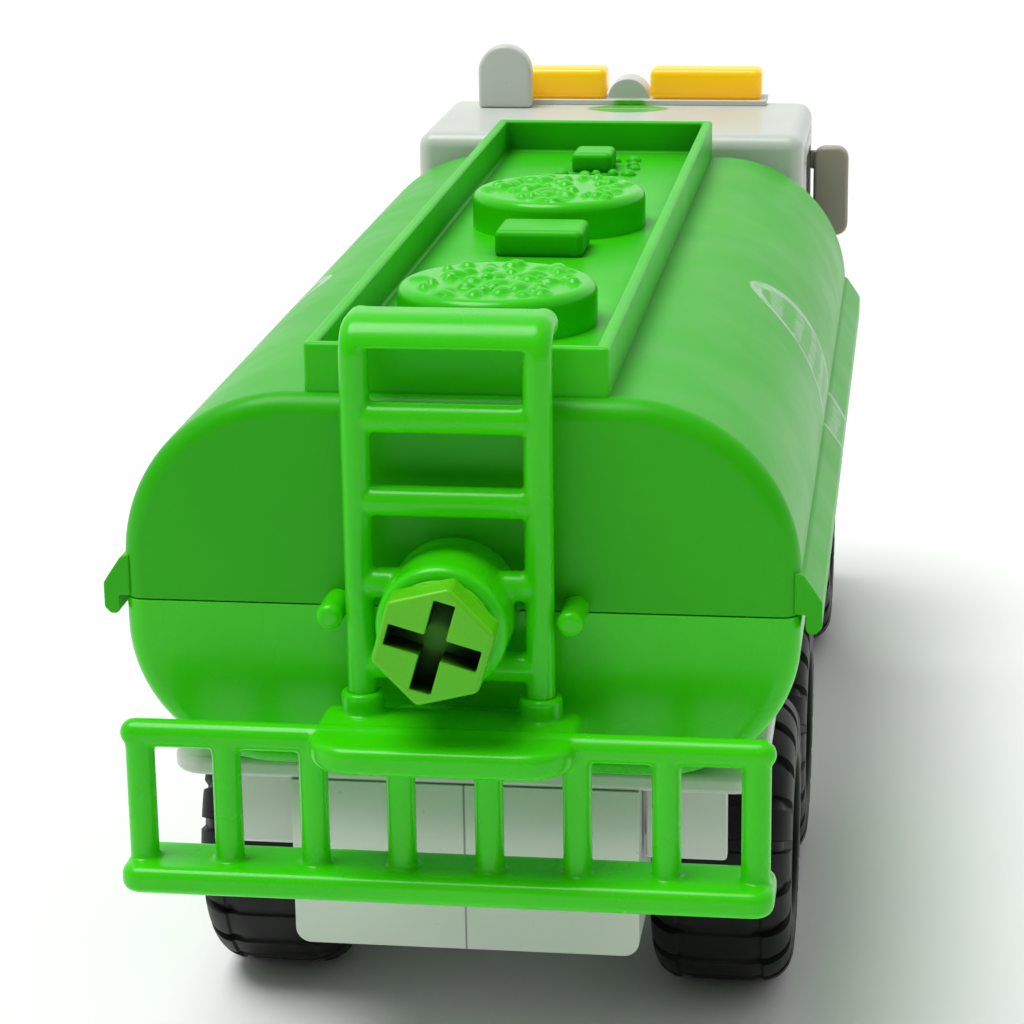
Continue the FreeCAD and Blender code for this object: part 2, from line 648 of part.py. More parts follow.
def mudflap(side):
    inner, outer = MUDFLAP_X
    y_range = [at(station) for station in MUDFLAP_STATIONS]
    flap = box((side * inner, side * outer), y_range, (MUDFLAP_BOTTOM_Z, DECK_TOP_Z - DECK_THICKNESS))
    return rounded(flap, 0.8, lambda edge: is_near(centre_of(edge).z, MUDFLAP_BOTTOM_Z))


# ---- wheels -------------------------------------------------------------------------------
def axle(station):
    y = at(station)
    shaft = rod(AXLE_RADIUS, vec(-AXLE_REACH, y, TYRE_RADIUS), vec(AXLE_REACH, y, TYRE_RADIUS))
    return rounded(shaft, 0.5, lambda edge: is_near(abs(centre_of(edge).x), AXLE_REACH))


def turned(profile, station, side):
    """Turn a list of (x, radius) points about an axle; side puts it on +X or -X."""
    points = [vec(side * x, at(station), TYRE_RADIUS + radius) for x, radius in profile]
    face = Part.Face(Part.makePolygon(points + points[:1]))
    return face.revolve(vec(0, at(station), TYRE_RADIUS), X_AXIS, 360)


def tyre(station, side):
    profile = (
        (TYRE_INNER_X, RIM_RADIUS),
        (TYRE_INNER_X, TYRE_RADIUS),
        (TYRE_OUTER_X, TYRE_RADIUS),
        (TYRE_OUTER_X, RIM_RADIUS),
    )
    ring = turned(profile, station, side)
    return rounded(ring, TYRE_SHOULDER, lambda edge: edge.BoundBox.ZLength > 2 * TYRE_RADIUS - 0.1
                   and edge.BoundBox.XLength < 0.1)


def hub(station, side):
    """A dished wheel centre with six nut studs and a round cap."""
    inner_x = TYRE_INNER_X + HUB_SETBACK
    face_x = TYRE_OUTER_X - 1.6
    dish_x = face_x - HUB_DISH
    cap_x = face_x - 0.4
    bore = AXLE_RADIUS + 1.85
    profile = (
        (inner_x, bore),
        (inner_x, HUB_TUBE_RADIUS),
        (dish_x - HUB_WEB, HUB_TUBE_RADIUS),
        (dish_x - HUB_WEB, RIM_RADIUS - HUB_WEB),
        (inner_x, RIM_RADIUS - HUB_WEB),
        (inner_x, RIM_RADIUS),
        (face_x, RIM_RADIUS),
        (face_x, RIM_RADIUS - 1.6),
        (dish_x, RIM_RADIUS - HUB_DISH),
        (dish_x, HUB_TUBE_RADIUS - 0.6),
        (cap_x, HUB_TUBE_RADIUS - 1.4),
        (cap_x, 0.0),
        (inner_x + 2.4, 0.0),
        (inner_x + 2.4, bore),
    )
    centre = turned(profile, station, side)
    studs = []
    for index in range(STUD_COUNT):
        angle = math.radians(360 / STUD_COUNT * index)
        y = at(station) + STUD_CIRCLE_RADIUS * math.cos(angle)
        z = TYRE_RADIUS + STUD_CIRCLE_RADIUS * math.sin(angle)
        foot = vec(side * (dish_x - HUB_WEB / 2), y, z)
        studs.append(rod(STUD_RADIUS, foot, vec(side * (dish_x + 1.6), y, z)))
    centre = fuse(centre, *studs)
    axis_end = vec(side * AXLE_REACH, at(station), TYRE_RADIUS)
    return centre.cut(rod(AXLE_RADIUS, vec(0, at(station), TYRE_RADIUS), axis_end))


# ---- cab ----------------------------------------------------------------------------------
def cab_block(inset):
    """The cab's outer volume, shrunk by the inset everywhere but at its open bottom."""
    rear = at(CAB_REAR + inset)
    front = at(CAB_FRONT - inset)
    roof_front = at(CAB_FRONT - CAB_RAKE - inset)
    bottom = CAB_BOTTOM_Z if inset == 0 else CAB_BOTTOM_Z - 1
    roof = CAB_ROOF_Z - inset
    profile = ((rear, bottom), (rear, roof), (roof_front, roof), (front, BELT_Z), (front, bottom))
    half = CAB_HALF_WIDTH - inset
    block = prism([vec(-half, y, z) for y, z in profile], vec(2 * half, 0, 0))
    block = rounded(block, CAB_EDGE_RADIUS - inset, lambda edge: is_parallel(edge, Z_AXIS)
                    or is_cab_pillar(edge))
    return rounded(block, CAB_EDGE_RADIUS / 2 - inset / 2, lambda edge: centre_of(edge).z > roof - 2
                   and edge.BoundBox.ZLength < 0.1)


def is_cab_pillar(edge):
    """The two raked edges beside the windscreen."""
    bounds = edge.BoundBox
    return bounds.XLength < 0.1 and bounds.ZLength > 20 and bounds.YLength > 0.1 and bounds.YLength < 5


def window_openings(trim):
    """The windscreen and side window openings, as cutters made smaller by the trim."""
    low = WINDOW_BOTTOM_Z + trim
    half = WINDSCREEN_HALF_WIDTH - trim
    y_range = (at(CAB_FRONT - CAB_RAKE - 2 * WALL - PAST), at(CAB_FRONT + PAST))
    front = box((-half, half), y_range, (low, WINDSCREEN_TOP_Z - trim))
    front = rounded(front, WINDOW_CORNER_RADIUS, lambda edge: is_parallel(edge, Y_AXIS))
    start, end = SIDE_WINDOW_STATIONS
    sides = box((-THROUGH, THROUGH), (at(start + trim), at(end - trim)), (low, SIDE_WINDOW_TOP_Z - trim))
    sides = rounded(sides, WINDOW_CORNER_RADIUS, lambda edge: is_parallel(edge, X_AXIS))
    return front, sides


def wheel_arch():
    y = at(AXLES["front"])
    return rod(TYRE_RADIUS + ARCH_GAP, vec(-THROUGH, y, TYRE_RADIUS), vec(THROUGH, y, TYRE_RADIUS))


def cab_shell():
    shell = cab_block(0).cut(cab_block(WALL))
    for opening in window_openings(0.0):
        shell = shell.cut(opening)
    return shell.cut(wheel_arch()).cut(beam_notch())


def beam_notch():
    """The gap in the cab's rear wall that the chassis beam passes through."""
    half = BEAM_HALF_WIDTH + SEAT_GAP
    y_range = (at(CAB_REAR - PAST), at(CAB_REAR + WALL + PAST))
    return box((-half, half), y_range, (CAB_BOTTOM_Z - PAST, CAB_FLOOR_Z))


def cab_windows():
    """One dark clear moulding: three panes joined by a frame inside the cab."""
    skin = cab_block(WALL + FIT_GAP).cut(cab_block(WALL + FIT_GAP + GLASS_FRAME))
    y_range = (at(SIDE_WINDOW_STATIONS[0] - 2 * GLASS_FRAME_LAP), at(CAB_FRONT + PAST))
    z_range = (WINDOW_BOTTOM_Z - GLASS_FRAME_LAP, WINDSCREEN_TOP_Z + GLASS_FRAME_LAP)
    frame = skin.common(box((-THROUGH, THROUGH), y_range, z_range))
    glass = cab_block(GLASS_INSET).cut(cab_block(WALL + GLASS_FRAME / 2))
    panes = [glass.common(opening) for opening in window_openings(FIT_GAP)]
    return fuse(frame, *panes)


def cab_floor():
    """The plate that closes the cab above the wheels and rests on the chassis beam."""
    half = CAB_HALF_WIDTH - WALL
    top = CAB_FLOOR_Z + WALL
    plate = box((-half, half), (at(CAB_REAR + WALL), at(CAB_FRONT - WALL)), (CAB_FLOOR_Z, top))
    plate = rounded(plate, CAB_EDGE_RADIUS - WALL, lambda edge: is_parallel(edge, Z_AXIS))
    post_top = top + SCREW_GRIP + WALL
    for x, y in cab_screw_places():
        plate = plate.fuse(rod(SCREW_POST_RADIUS, vec(x, y, CAB_FLOOR_Z), vec(x, y, post_top)))
    plate = plate.removeSplitter()
    for x, y in cab_screw_places():
        plate = plate.cut(rod(SCREW_RADIUS, vec(x, y, CAB_FLOOR_Z - PAST), vec(x, y, top + SCREW_GRIP)))
    return plate


def cab_screws():
    """Two screws up through the chassis beam into the cab floor's posts."""
    tip_z = CAB_FLOOR_Z + WALL + SCREW_GRIP
    return Part.makeCompound([upright_screw(x, y, tip_z) for x, y in cab_screw_places()])


def grille():
    """The slatted panel under the windscreen."""
    front = at(CAB_FRONT)
    face = front - GRILLE_THICKNESS
    low, high = GRILLE_Z
    panel = box((-GRILLE_HALF_WIDTH, GRILLE_HALF_WIDTH), (front, face), GRILLE_Z)
    panel = rounded(panel, 2.0, lambda edge: is_parallel(edge, Y_AXIS))
    half = GRILLE_HALF_WIDTH - 3.0
    span = (SLAT_COUNT - 1) * SLAT_PITCH + SLAT_HEIGHT
    first = (low + high - span) / 2
    for index in range(SLAT_COUNT):
        z = first + index * SLAT_PITCH
        panel = panel.cut(box((-half, half), (face + SLAT_DEPTH, face - PAST), (z, z + SLAT_HEIGHT)))
    return panel


def front_bumper():
    """The bumper wraps the cab's lower front edge."""
    back = at(BUMPER_BACK)
    nose = at(FRONT_REACH)
    bar = box((-BUMPER_HALF_WIDTH, BUMPER_HALF_WIDTH), (back, nose), BUMPER_Z)
    bar = rounded(bar, BUMPER_CORNER_RADIUS, lambda edge: is_parallel(edge, Z_AXIS)
                  and is_near(centre_of(edge).y, nose))
    bar = rounded(bar, 1.2, lambda edge: not is_parallel(edge, Z_AXIS) and edge.BoundBox.ZLength < 0.1)
    cab_gap = box((-CAB_HALF_WIDTH, CAB_HALF_WIDTH), (back + PAST, at(CAB_FRONT)),
                  (CAB_BOTTOM_Z, BUMPER_Z[1] + PAST))
    bar = bar.cut(cab_gap)
    for side in (-1, 1):
        bar = bar.cut(headlight_pocket(side))
    plate = box((-PLATE_HALF_WIDTH, PLATE_HALF_WIDTH), (nose - PAST, nose + PLATE_DEPTH), PLATE_Z)
    return bar.cut(plate)


def headlight_pocket(side):
    nose = at(FRONT_REACH)
    inner, outer = HEADLIGHT_X
    return box((side * inner, side * outer), (nose - PAST, nose + HEADLIGHT_DEPTH), HEADLIGHT_Z)


def headlight(side):
    nose = at(FRONT_REACH)
    face = nose + 0.4
    inner, outer = HEADLIGHT_X
    lens = box((side * inner, side * outer), (nose + HEADLIGHT_DEPTH, face), HEADLIGHT_Z)
    return rounded(lens, 0.7, lambda edge: is_near(centre_of(edge).y, face))


def mirror(side):
    """A tall mirror housing on a short arm; side is +1 or -1."""
    inner = CAB_HALF_WIDTH + MIRROR_GAP
    start, end = MIRROR_STATIONS
    plate = box((side * inner, side * (inner + MIRROR_WIDTH)), (at(start), at(end)), MIRROR_Z)
    plate = rounded(plate, 2.6, lambda edge: is_parallel(edge, Y_AXIS))
    plate = rounded(plate, 0.8, lambda edge: not is_parallel(edge, Y_AXIS)
                    and edge.BoundBox.YLength < 0.1)
    arm_end = side * (inner + MIRROR_WIDTH / 2)
    arm = box((side * CAB_HALF_WIDTH, arm_end), (at(start + 1), at(end - 1)), MIRROR_ARM_Z)
    return fuse(plate, arm)


def light_bar_base():
    """The flat base along the front of the roof, with the round dome in its middle."""
    start, end = LIGHT_BAR_STATIONS
    base_top = CAB_ROOF_Z + LIGHT_BASE_HEIGHT
    base = box((-LIGHT_BAR_HALF_WIDTH, LIGHT_BAR_HALF_WIDTH), (at(start), at(end)), (CAB_ROOF_Z, base_top))
    dome = rod(DOME_RADIUS, vec(0, at(start + 1), base_top), vec(0, at(end - 1), base_top))
    above = box((-DOME_RADIUS, DOME_RADIUS), (at(start), at(end)), (base_top, base_top + DOME_RADIUS))
    return fuse(base, dome.common(above))


def light_lens(side):
    inner, outer = LENS_X
    start, end = LIGHT_BAR_STATIONS
    base_top = CAB_ROOF_Z + LIGHT_BASE_HEIGHT
    lens = box((side * inner, side * outer), (at(start + 1), at(end - 1)), (base_top, base_top + LENS_HEIGHT))
    return rounded(lens, 1.6, lambda edge: not is_near(centre_of(edge).z, base_top))


def roof_air_intake():
    """The round-topped tab that stands on the roof behind the light bar."""
    start, end = INTAKE_STATIONS
    top_centre_z = CAB_ROOF_Z + INTAKE_RISE
    ends = (vec(INTAKE_X, at(start), top_centre_z), vec(INTAKE_X, at(end), top_centre_z))
    round_top = rod(INTAKE_RADIUS, *ends)
    stem = box((INTAKE_X - INTAKE_RADIUS, INTAKE_X + INTAKE_RADIUS), (at(start), at(end)),
               (CAB_ROOF_Z, top_centre_z))
    tab = fuse(round_top, stem)
    return rounded(tab, 0.9, lambda edge: edge.BoundBox.YLength < 0.1
                   and not is_near(centre_of(edge).z, CAB_ROOF_Z))


# ---- write every sub-part -----------------------------------------------------------------
def all_parts():
    parts = {
        "tank_upper_shell": tank_upper_shell(),
        "tank_lower_shell": tank_lower_shell(),
        "tank_screws": tank_screws(),
        "walkway_tray": walkway_tray(),
        "filler_lid_rear": filler_lid(LID_STATIONS[0]),
        "filler_lid_front": filler_lid(LID_STATIONS[1]),
        "seam_pegs": seam_pegs(),
        "ladder": ladder(),
        "rear_bolt": rear_bolt(),
        "rear_bolt_washer": rear_bolt_washer(),
        "rear_bolt_nut": rear_bolt_nut(),
        "rear_guard": rear_guard(),
        "chassis_deck": chassis_deck(),
        "chassis_left": chassis_left(),
        "chassis_right": chassis_right(),
        "chassis_screws": chassis_screws(),
        "cab_shell": cab_shell(),
        "cab_windows": cab_windows(),
        "cab_floor": cab_floor(),
        "cab_screws": cab_screws(),
        "grille": grille(),
        "front_bumper": front_bumper(),
        "light_bar_base": light_bar_base(),
        "roof_air_intake": roof_air_intake(),
        "mirror_right": mirror(-1),
    }
    for name, side in (("left", 1), ("right", -1)):
        parts[f"mudflap_{name}"] = mudflap(side)
        parts[f"headlight_{name}"] = headlight(side)
        parts[f"light_lens_{name}"] = light_lens(side)
        for place, station in AXLES.items():
            parts[f"tyre_{place}_{name}"] = tyre(station, side)
            parts[f"hub_{place}_{name}"] = hub(station, side)
    for place, station in AXLES.items():
        parts[f"axle_{place}"] = axle(station)
    return parts


os.makedirs("parts", exist_ok=True)
for node_name, node_shape in all_parts().items():
    save(node_shape, node_name)
    print(node_name, len(node_shape.Solids), round(node_shape.Volume, 1))
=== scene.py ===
import math
import random

import bpy
from mathutils import Matrix, Vector


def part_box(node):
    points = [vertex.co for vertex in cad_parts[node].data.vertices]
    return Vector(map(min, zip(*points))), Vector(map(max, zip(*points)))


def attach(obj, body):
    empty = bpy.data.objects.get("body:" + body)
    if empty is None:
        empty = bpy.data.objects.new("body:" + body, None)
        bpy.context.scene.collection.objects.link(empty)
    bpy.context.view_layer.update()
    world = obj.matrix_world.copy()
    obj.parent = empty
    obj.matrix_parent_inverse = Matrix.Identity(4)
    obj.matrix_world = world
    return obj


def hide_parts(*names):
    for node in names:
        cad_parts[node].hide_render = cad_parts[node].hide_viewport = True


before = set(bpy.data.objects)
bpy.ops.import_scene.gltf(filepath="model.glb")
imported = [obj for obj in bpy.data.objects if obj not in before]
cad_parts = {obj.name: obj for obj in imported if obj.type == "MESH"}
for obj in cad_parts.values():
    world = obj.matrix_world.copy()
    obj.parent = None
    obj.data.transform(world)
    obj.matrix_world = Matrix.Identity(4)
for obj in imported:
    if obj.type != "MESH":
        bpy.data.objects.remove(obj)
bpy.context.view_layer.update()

# Toy tanker truck. Shapes below are given in millimetres and made in metres. A station is a
# distance ahead of the tank's rear face.
MM = 0.001
random.seed(11)          # the knobs in the walkway are placed at random, the same way each time


# ---- small geometry helpers -----------------------------------------------------------------
def span(node):
    """A CAD node's lowest and highest corner at rest, in millimetres."""
    low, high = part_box(node)
    return Vector(low) / MM, Vector(high) / MM


def middle(node):
    low, high = span(node)
    return (low + high) / 2


def filleted(outline, radii, steps=6):
    """Round the corners of a closed 2-D outline, each by its own radius."""
    rounded = []
    count = len(outline)
    for index, radius in enumerate(radii):
        corner = Vector(outline[index])
        before = Vector(outline[index - 1]) - corner
        after = Vector(outline[(index + 1) % count]) - corner
        if radius <= 0:
            rounded.append(corner)
            continue
        half = before.angle(after) / 2
        reach = min(radius / math.tan(half), 0.49 * before.length, 0.49 * after.length)
        centre = corner + (before.normalized() + after.normalized()).normalized() * reach / math.cos(half)
        start = corner + before.normalized() * reach - centre
        end = corner + after.normalized() * reach - centre
        first = math.atan2(start.y, start.x)
        sweep = (math.atan2(end.y, end.x) - first + math.pi) % (2 * math.pi) - math.pi
        for step in range(steps + 1):
            angle = first + sweep * step / steps
            rounded.append(centre + Vector((math.cos(angle), math.sin(angle))) * start.length)
    return rounded


def make_object(name, points, faces):
    mesh = bpy.data.meshes.new(name)
    mesh.from_pydata([Vector(point) * MM for point in points], [], faces)
    mesh.validate()
    obj = bpy.data.objects.new(name, mesh)
    bpy.context.collection.objects.link(obj)
    return obj


def loft(name, rings, wraps=False):
    """Skin closed rings of equally many points; the ends are capped, or the last ring meets the first."""
    size = len(rings[0])
    points = [point for ring in rings for point in ring]
    faces = []
    for row in range(len(rings) if wraps else len(rings) - 1):
        here = row * size
        there = (row + 1) % len(rings) * size
        for column in range(size):
            beside = (column + 1) % size
            faces.append((here + column, here + beside, there + beside, there + column))
    if not wraps:
        faces.append(tuple(reversed(range(size))))
        faces.append(tuple(range(len(points) - size, len(points))))
    obj = make_object(name, points, faces)
    face_outwards(obj)
    return obj


def face_outwards(obj):
    """Turn a closed mesh's faces so that its volume comes out positive."""
    mesh = obj.data
    mesh.calc_loop_triangles()
    volume = 0.0
    for triangle in mesh.loop_triangles:
        a, b, c = (mesh.vertices[index].co for index in triangle.vertices)
        volume += a.dot(b.cross(c))
    if volume < 0:
        mesh.flip_normals()


def placed(axis, along, across, up):
    """A point from its distance along an axis and its two offsets from it."""
    if axis == "X":
        return Vector((along, across, up))
    if axis == "Y":
        return Vector((across, along, up))
    return Vector((across, up, along))


def lathe(name, profile, centre, axis, segments=96, wraps=False):
    """Turn (distance along the axis, radius) points about an axis through a centre."""
    rings = []
    for along, radius in profile:
        ring = []
        for segment in range(segments):
            angle = 2 * math.pi * segment / segments
            ring.append(centre + placed(axis, along, radius * math.cos(angle), radius * math.sin(angle)))
        rings.append(ring)
    return loft(name, rings, wraps)


def extrude(name, outline, axis, start, end):
    """A closed 2-D outline pushed along an axis from start to end."""
    return loft(name, [[placed(axis, along, *point) for point in outline] for along in (start, end)])


def rectangle(across, up):
    """The corners of a rectangle, from its two ranges."""
    return [(across[0], up[0]), (across[1], up[0]), (across[1], up[1]), (across[0], up[1])]


def hexagon(radius, tilt=0.0):
    """The corners of a hexagon, turned by an angle in degrees."""
    corners = []
    for index in range(6):
        angle = math.radians(tilt + 60 * index)
        corners.append((radius * math.cos(angle), radius * math.sin(angle)))
    return corners


def rounded_end(end, radius, edge, steps=8):
    """Lathe points round the edge between a turned piece's side and its end face."""
    points = []
    for step in range(steps + 1):
        angle = math.pi / 2 * step / steps
        points.append((end - edge + edge * math.sin(angle), radius - edge + edge * math.cos(angle)))
    return points


def block(name, low, high, edge=0.0, steps=3):
    """A box whose edges may be rounded."""
    obj = extrude(name, rectangle((low[0], high[0]), (low[1], high[1])), "Z", low[2], high[2])
    if edge > 0:
        bevel(obj, edge, steps)
    return obj


def tube(name, path, radius, segments=28):
    """A round bar along a path that lies in a plane of constant X."""
    rings = []
    for index, point in enumerate(path):
        before = path[max(index - 1, 0)]
        after = path[min(index + 1, len(path) - 1)]
        along = (after - before).normalized()
        sideways = Vector((1, 0, 0))
        upwards = sideways.cross(along)
        ring = []
        for segment in range(segments):
            angle = 2 * math.pi * segment / segments
            ring.append(point + (sideways * math.cos(angle) + upwards * math.sin(angle)) * radius)
        rings.append(ring)
    return loft(name, rings)


def bake_modifiers(obj):
    """Turn an object's modifiers into its mesh."""
    depsgraph = bpy.context.evaluated_depsgraph_get()
    mesh = bpy.data.meshes.new_from_object(obj.evaluated_get(depsgraph))
    obj.modifiers.clear()
    obj.data = mesh


def bevel(obj, width, steps=3, angle=35):
    """Round every edge that is sharper than the angle."""
    modifier = obj.modifiers.new("bevel", "BEVEL")
    modifier.width = width * MM
    modifier.segments = steps
    modifier.limit_method = "ANGLE"
    modifier.angle_limit = math.radians(angle)
    bake_modifiers(obj)


def combine(obj, others, operation):
    """Add other closed objects to one, or cut them away, and drop them."""
    for other in others:
        modifier = obj.modifiers.new("combine", "BOOLEAN")
        modifier.operation = operation
        modifier.solver = "EXACT"
        modifier.object = other
    bake_modifiers(obj)
    for other in others:
        bpy.data.objects.remove(other)


def join(name, parts):
    """Put several closed meshes into one object."""
    points = []
    faces = []
    for part in parts:
        first = len(points)
        points += [vertex.co / MM for vertex in part.data.vertices]
        faces += [tuple(first + index for index in face.vertices) for face in part.data.polygons]
        bpy.data.objects.remove(part)
    return make_object(name, points, faces)


def melt(name, parts, voxel, rounds):
    """One moulding out of overlapping closed parts, with soft fillets where they meet."""
    obj = join(name, parts)
    remesh = obj.modifiers.new("melt", "REMESH")
    remesh.mode = "VOXEL"
    remesh.voxel_size = voxel * MM
    smooth = obj.modifiers.new("soften", "SMOOTH")
    smooth.factor = 0.5
    smooth.iterations = rounds
    bake_modifiers(obj)
    return obj


def shade(obj, angle=35):
    """Smooth shading that stays crisp over sharp edges."""
    obj.data.shade_smooth()
    obj.data.set_sharp_from_angle(angle=math.radians(angle))
    weights = obj.modifiers.new("weights", "WEIGHTED_NORMAL")
    weights.keep_sharp = True


def piece(obj, body, node, material, angle=35):
    """Make an object a finished piece that stands for a CAD node."""
    obj.data.materials.clear()
    obj.data.materials.append(material)
    shade(obj, angle)
    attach(obj, body)
    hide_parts(node)


def keep(node, material, edge):
    """Show a CAD node as it is, with softened edges and a finished material."""
    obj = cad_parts[node]
    obj.data.materials.clear()
    obj.data.materials.append(material)
    weld = obj.modifiers.new("weld", "WELD")
    weld.merge_threshold = 0.002 * MM
    flat = obj.modifiers.new("flat", "DECIMATE")
    flat.decimate_type = "DISSOLVE"
    flat.angle_limit = math.radians(1.0)
    soft = obj.modifiers.new("soft", "BEVEL")
    soft.width = edge * MM
    soft.segments = 3
    soft.limit_method = "ANGLE"
    soft.angle_limit = math.radians(30)
    weights = obj.modifiers.new("weights", "WEIGHTED_NORMAL")
    weights.keep_sharp = True


# ---- sizes that several pieces share ----------------------------------------------------------
SEAM_Z = span("tank_lower_shell")[1].z            # joint between the two tank shells
SEAM_GAP = 0.12                                   # half the dark gap between the two tank shells
REAR_Y = span("tank_upper_shell")[1].y            # tank's rear face
TRAY_FLOOR_Z = SEAM_Z + 32.6
CROWN_RADIUS = 26.0                               # upper corners of the tank's section
BELLY_RADIUS = 22.0                               # lower corners of the tank's section
RAIL_SETBACK = 6.2                                # tank's rear face to the ladder's rails
BOLT_Z = middle("rear_bolt_washer").z
SHANK_HOLE_RADIUS = 4.05                          # the bolt's hole in the boss and the washer


def at(station):
    """The place along Y of a station."""
    return REAR_Y - station


# ---- materials ------------------------------------------------------------------------------
class Paint:
    """Builds one node material around a Principled shader."""

    def __init__(self, name):
        self.material = bpy.data.materials.new(name)
        self.material.use_nodes = True
        self.tree = self.material.node_tree
        self.shader = self.tree.nodes["Principled BSDF"]
        place = self.tree.nodes.new("ShaderNodeTexCoord")
        self.place = place.outputs["Object"]

    def node(self, kind, settings=None, **inputs):
        """A new node with its settings and its named inputs filled in."""
        made = self.tree.nodes.new(kind)
        for key, value in (settings or {}).items():
            setattr(made, key, value)
        for key, value in inputs.items():
            self.feed(made.inputs[key.replace("_", " ")], value)
        return made

    def feed(self, socket, value):
        """Link a socket to another node's output, or give it a value."""
        if isinstance(value, bpy.types.NodeSocket):
            self.tree.links.new(value, socket)
        else:
            socket.default_value = value

    def maths(self, operation, *values):
        made = self.tree.nodes.new("ShaderNodeMath")
        made.operation = operation
        for socket, value in zip(made.inputs, values):
            self.feed(socket, value)
        return made.outputs[0]

    def stretched(self, x, y, z):
        """The place, stretched by three factors."""
        return self.node("ShaderNodeMapping", Vector=self.place, Scale=(x, y, z)).outputs[0]

    def noise(self, size, detail=2.0, place=None, roughness=0.5):
        """Noise whose features are about this many millimetres."""
        made = self.node("ShaderNodeTexNoise", Vector=place or self.place, Scale=1 / (size * MM),
                         Detail=detail, Roughness=roughness)
        return made.outputs["Fac"]

    def between(self, value, low, high, to_low=0.0, to_high=1.0):
        """Map a value from one range to another, clamped."""
        made = self.node("ShaderNodeMapRange")
        for socket, number in zip(made.inputs, (value, low, high, to_low, to_high)):
            self.feed(socket, number)
        return made.outputs[0]

    def mix(self, share, first, second):
        """Blend two colours: the first at a share of 0, the second at 1."""
        made = self.tree.nodes.new("ShaderNodeMix")
        made.data_type = "RGBA"
        self.feed(made.inputs[0], share)
        self.feed(made.inputs[6], first)
        self.feed(made.inputs[7], second)
        return made.outputs[2]

    def bumps(self, *layers):
        """Stack bump layers of (height, depth in millimetres)."""
        normal = None
        for height, depth in layers:
            made = self.node("ShaderNodeBump", Height=height, Distance=depth * MM, Strength=1.0)
            if normal is not None:
                self.tree.links.new(normal, made.inputs["Normal"])
            normal = made.outputs[0]
        self.feed(self.shader.inputs["Normal"], normal)

    def set(self, **inputs):
        """Fill in the shader's own sockets."""
        for key, value in inputs.items():
            self.feed(self.shader.inputs[key.replace("_", " ")], value)


WAVE_SCALE = 0.31        # a wave texture's scale for bands one unit apart


def rgb(red, green, blue):
    """A display colour from 0 to 255, as linear light."""
    return tuple((channel / 255) ** 2.2 for channel in (red, green, blue)) + (1.0,)


def scratches(paint, length, width, rarity):
    """Sparse fine scratches in two directions, from 0 to 1."""
    found = []
    for turn in (0.5, -0.9):
        turned = paint.node("ShaderNodeVectorRotate", {"rotation_type": "AXIS_ANGLE"}, Vector=paint.place,
                            Axis=(0.3, 1.0, 0.2), Angle=turn).outputs[0]
        spread = paint.node("ShaderNodeMapping", Vector=turned,
                            Scale=(1 / length, 1 / width, 1 / width)).outputs[0]
        lines = paint.node("ShaderNodeTexNoise", Vector=spread, Scale=1 / MM, Detail=1.0).outputs["Fac"]
        found.append(paint.between(lines, rarity, rarity + 0.03))
    return paint.maths("MAXIMUM", *found)


def worn_and_highlit_edges(paint, radius):
    """From 0 on flat ground to 1 along convex and concave edges."""
    wide = paint.node("ShaderNodeBevel", {"samples": 4}, Radius=radius * MM).outputs[0]
    plain = paint.tree.nodes.new("ShaderNodeNewGeometry").outputs["Normal"]
    turn = paint.node("ShaderNodeVectorMath", {"operation": "DOT_PRODUCT"})
    paint.feed(turn.inputs[0], wide)
    paint.feed(turn.inputs[1], plain)
    return paint.between(turn.outputs["Value"], 0.99, 0.86)


def moulded(name, colour, deep, pale, gloss=0.3, sheen=0.5, speck=None, printed=None, painted_shade=None,
            glow=0.0):
    """Injection-moulded plastic: faint clouds and waves, edges worn pale and partly lit as a painted
    highlight, fine grain and scratches.

    deep and pale vary the colour, speck is dust in it, printed is a function that adds a print,
    and the argument after printed paints shade into recesses, as (colour, reach in millimetres, share).
    """
    paint = Paint(name)
    base = paint.mix(paint.between(paint.noise(38, 3.0), 0.35, 0.65), deep, colour)
    fine = paint.noise(2.2, 4.0, roughness=0.65)
    base = paint.mix(paint.between(fine, 0.55, 0.8, 0.0, 0.05), base, pale)
    lines = scratches(paint, 26, 0.12, 0.755)
    base = paint.mix(paint.maths("MULTIPLY", lines, 0.05), base, pale)
    # partly painted highlight: edges are lightened towards the pale colour, partly as wear and partly as a
    # highlight on their rounding
    rubbed_and_highlit = paint.between(paint.noise(9, 2.0), 0.4, 0.7, 0.04, 0.2)
    base = paint.mix(paint.maths("MULTIPLY", worn_and_highlit_edges(paint, 0.6), rubbed_and_highlit), base, pale)
    dull = paint.between(paint.noise(14, 4.0), 0.3, 0.7, gloss - 0.04, gloss + 0.05)
    dull = paint.maths("ADD", dull, paint.maths("MULTIPLY", lines, 0.06))
    if speck is not None:
        spots = paint.between(paint.noise(1.1, 1.0), 0.77, 0.81)
        base = paint.mix(paint.maths("MULTIPLY", spots, 0.35), base, speck)
    if printed is not None:
        base = printed(paint, base)
    # painted shade: recesses found by ambient occlusion are darkened towards a shade colour and made rougher
    if painted_shade is not None:
        shade_colour, reach, most = painted_shade
        shaded = deep_share(paint, reach)
        base = paint.mix(paint.maths("MULTIPLY", shaded, most), base, shade_colour)
        dull = paint.maths("ADD", dull, paint.maths("MULTIPLY", shaded, 0.6 * most))
    paint.set(Base_Color=base, Roughness=dull, IOR=1.5, Specular_IOR_Level=sheen, Subsurface_Weight=glow,
              Subsurface_Radius=(0.7, 1.0, 0.4), Subsurface_Scale=1.6 * MM)
    paint.bumps((paint.noise(17, 1.0), 0.02), (paint.noise(0.5, 2.0), 0.002), (lines, -0.002))
    return paint.material


def deep_share(paint, reach):
    """From 0 on open faces to 1 deep in a recess about as wide as the reach; the mask for painted shade."""
    open_share = paint.node("ShaderNodeAmbientOcclusion", {"samples": 6, "only_local": True},
                            Distance=reach * MM).outputs["AO"]
    return paint.between(open_share, 0.42, 0.82, 1.0, 0.0)


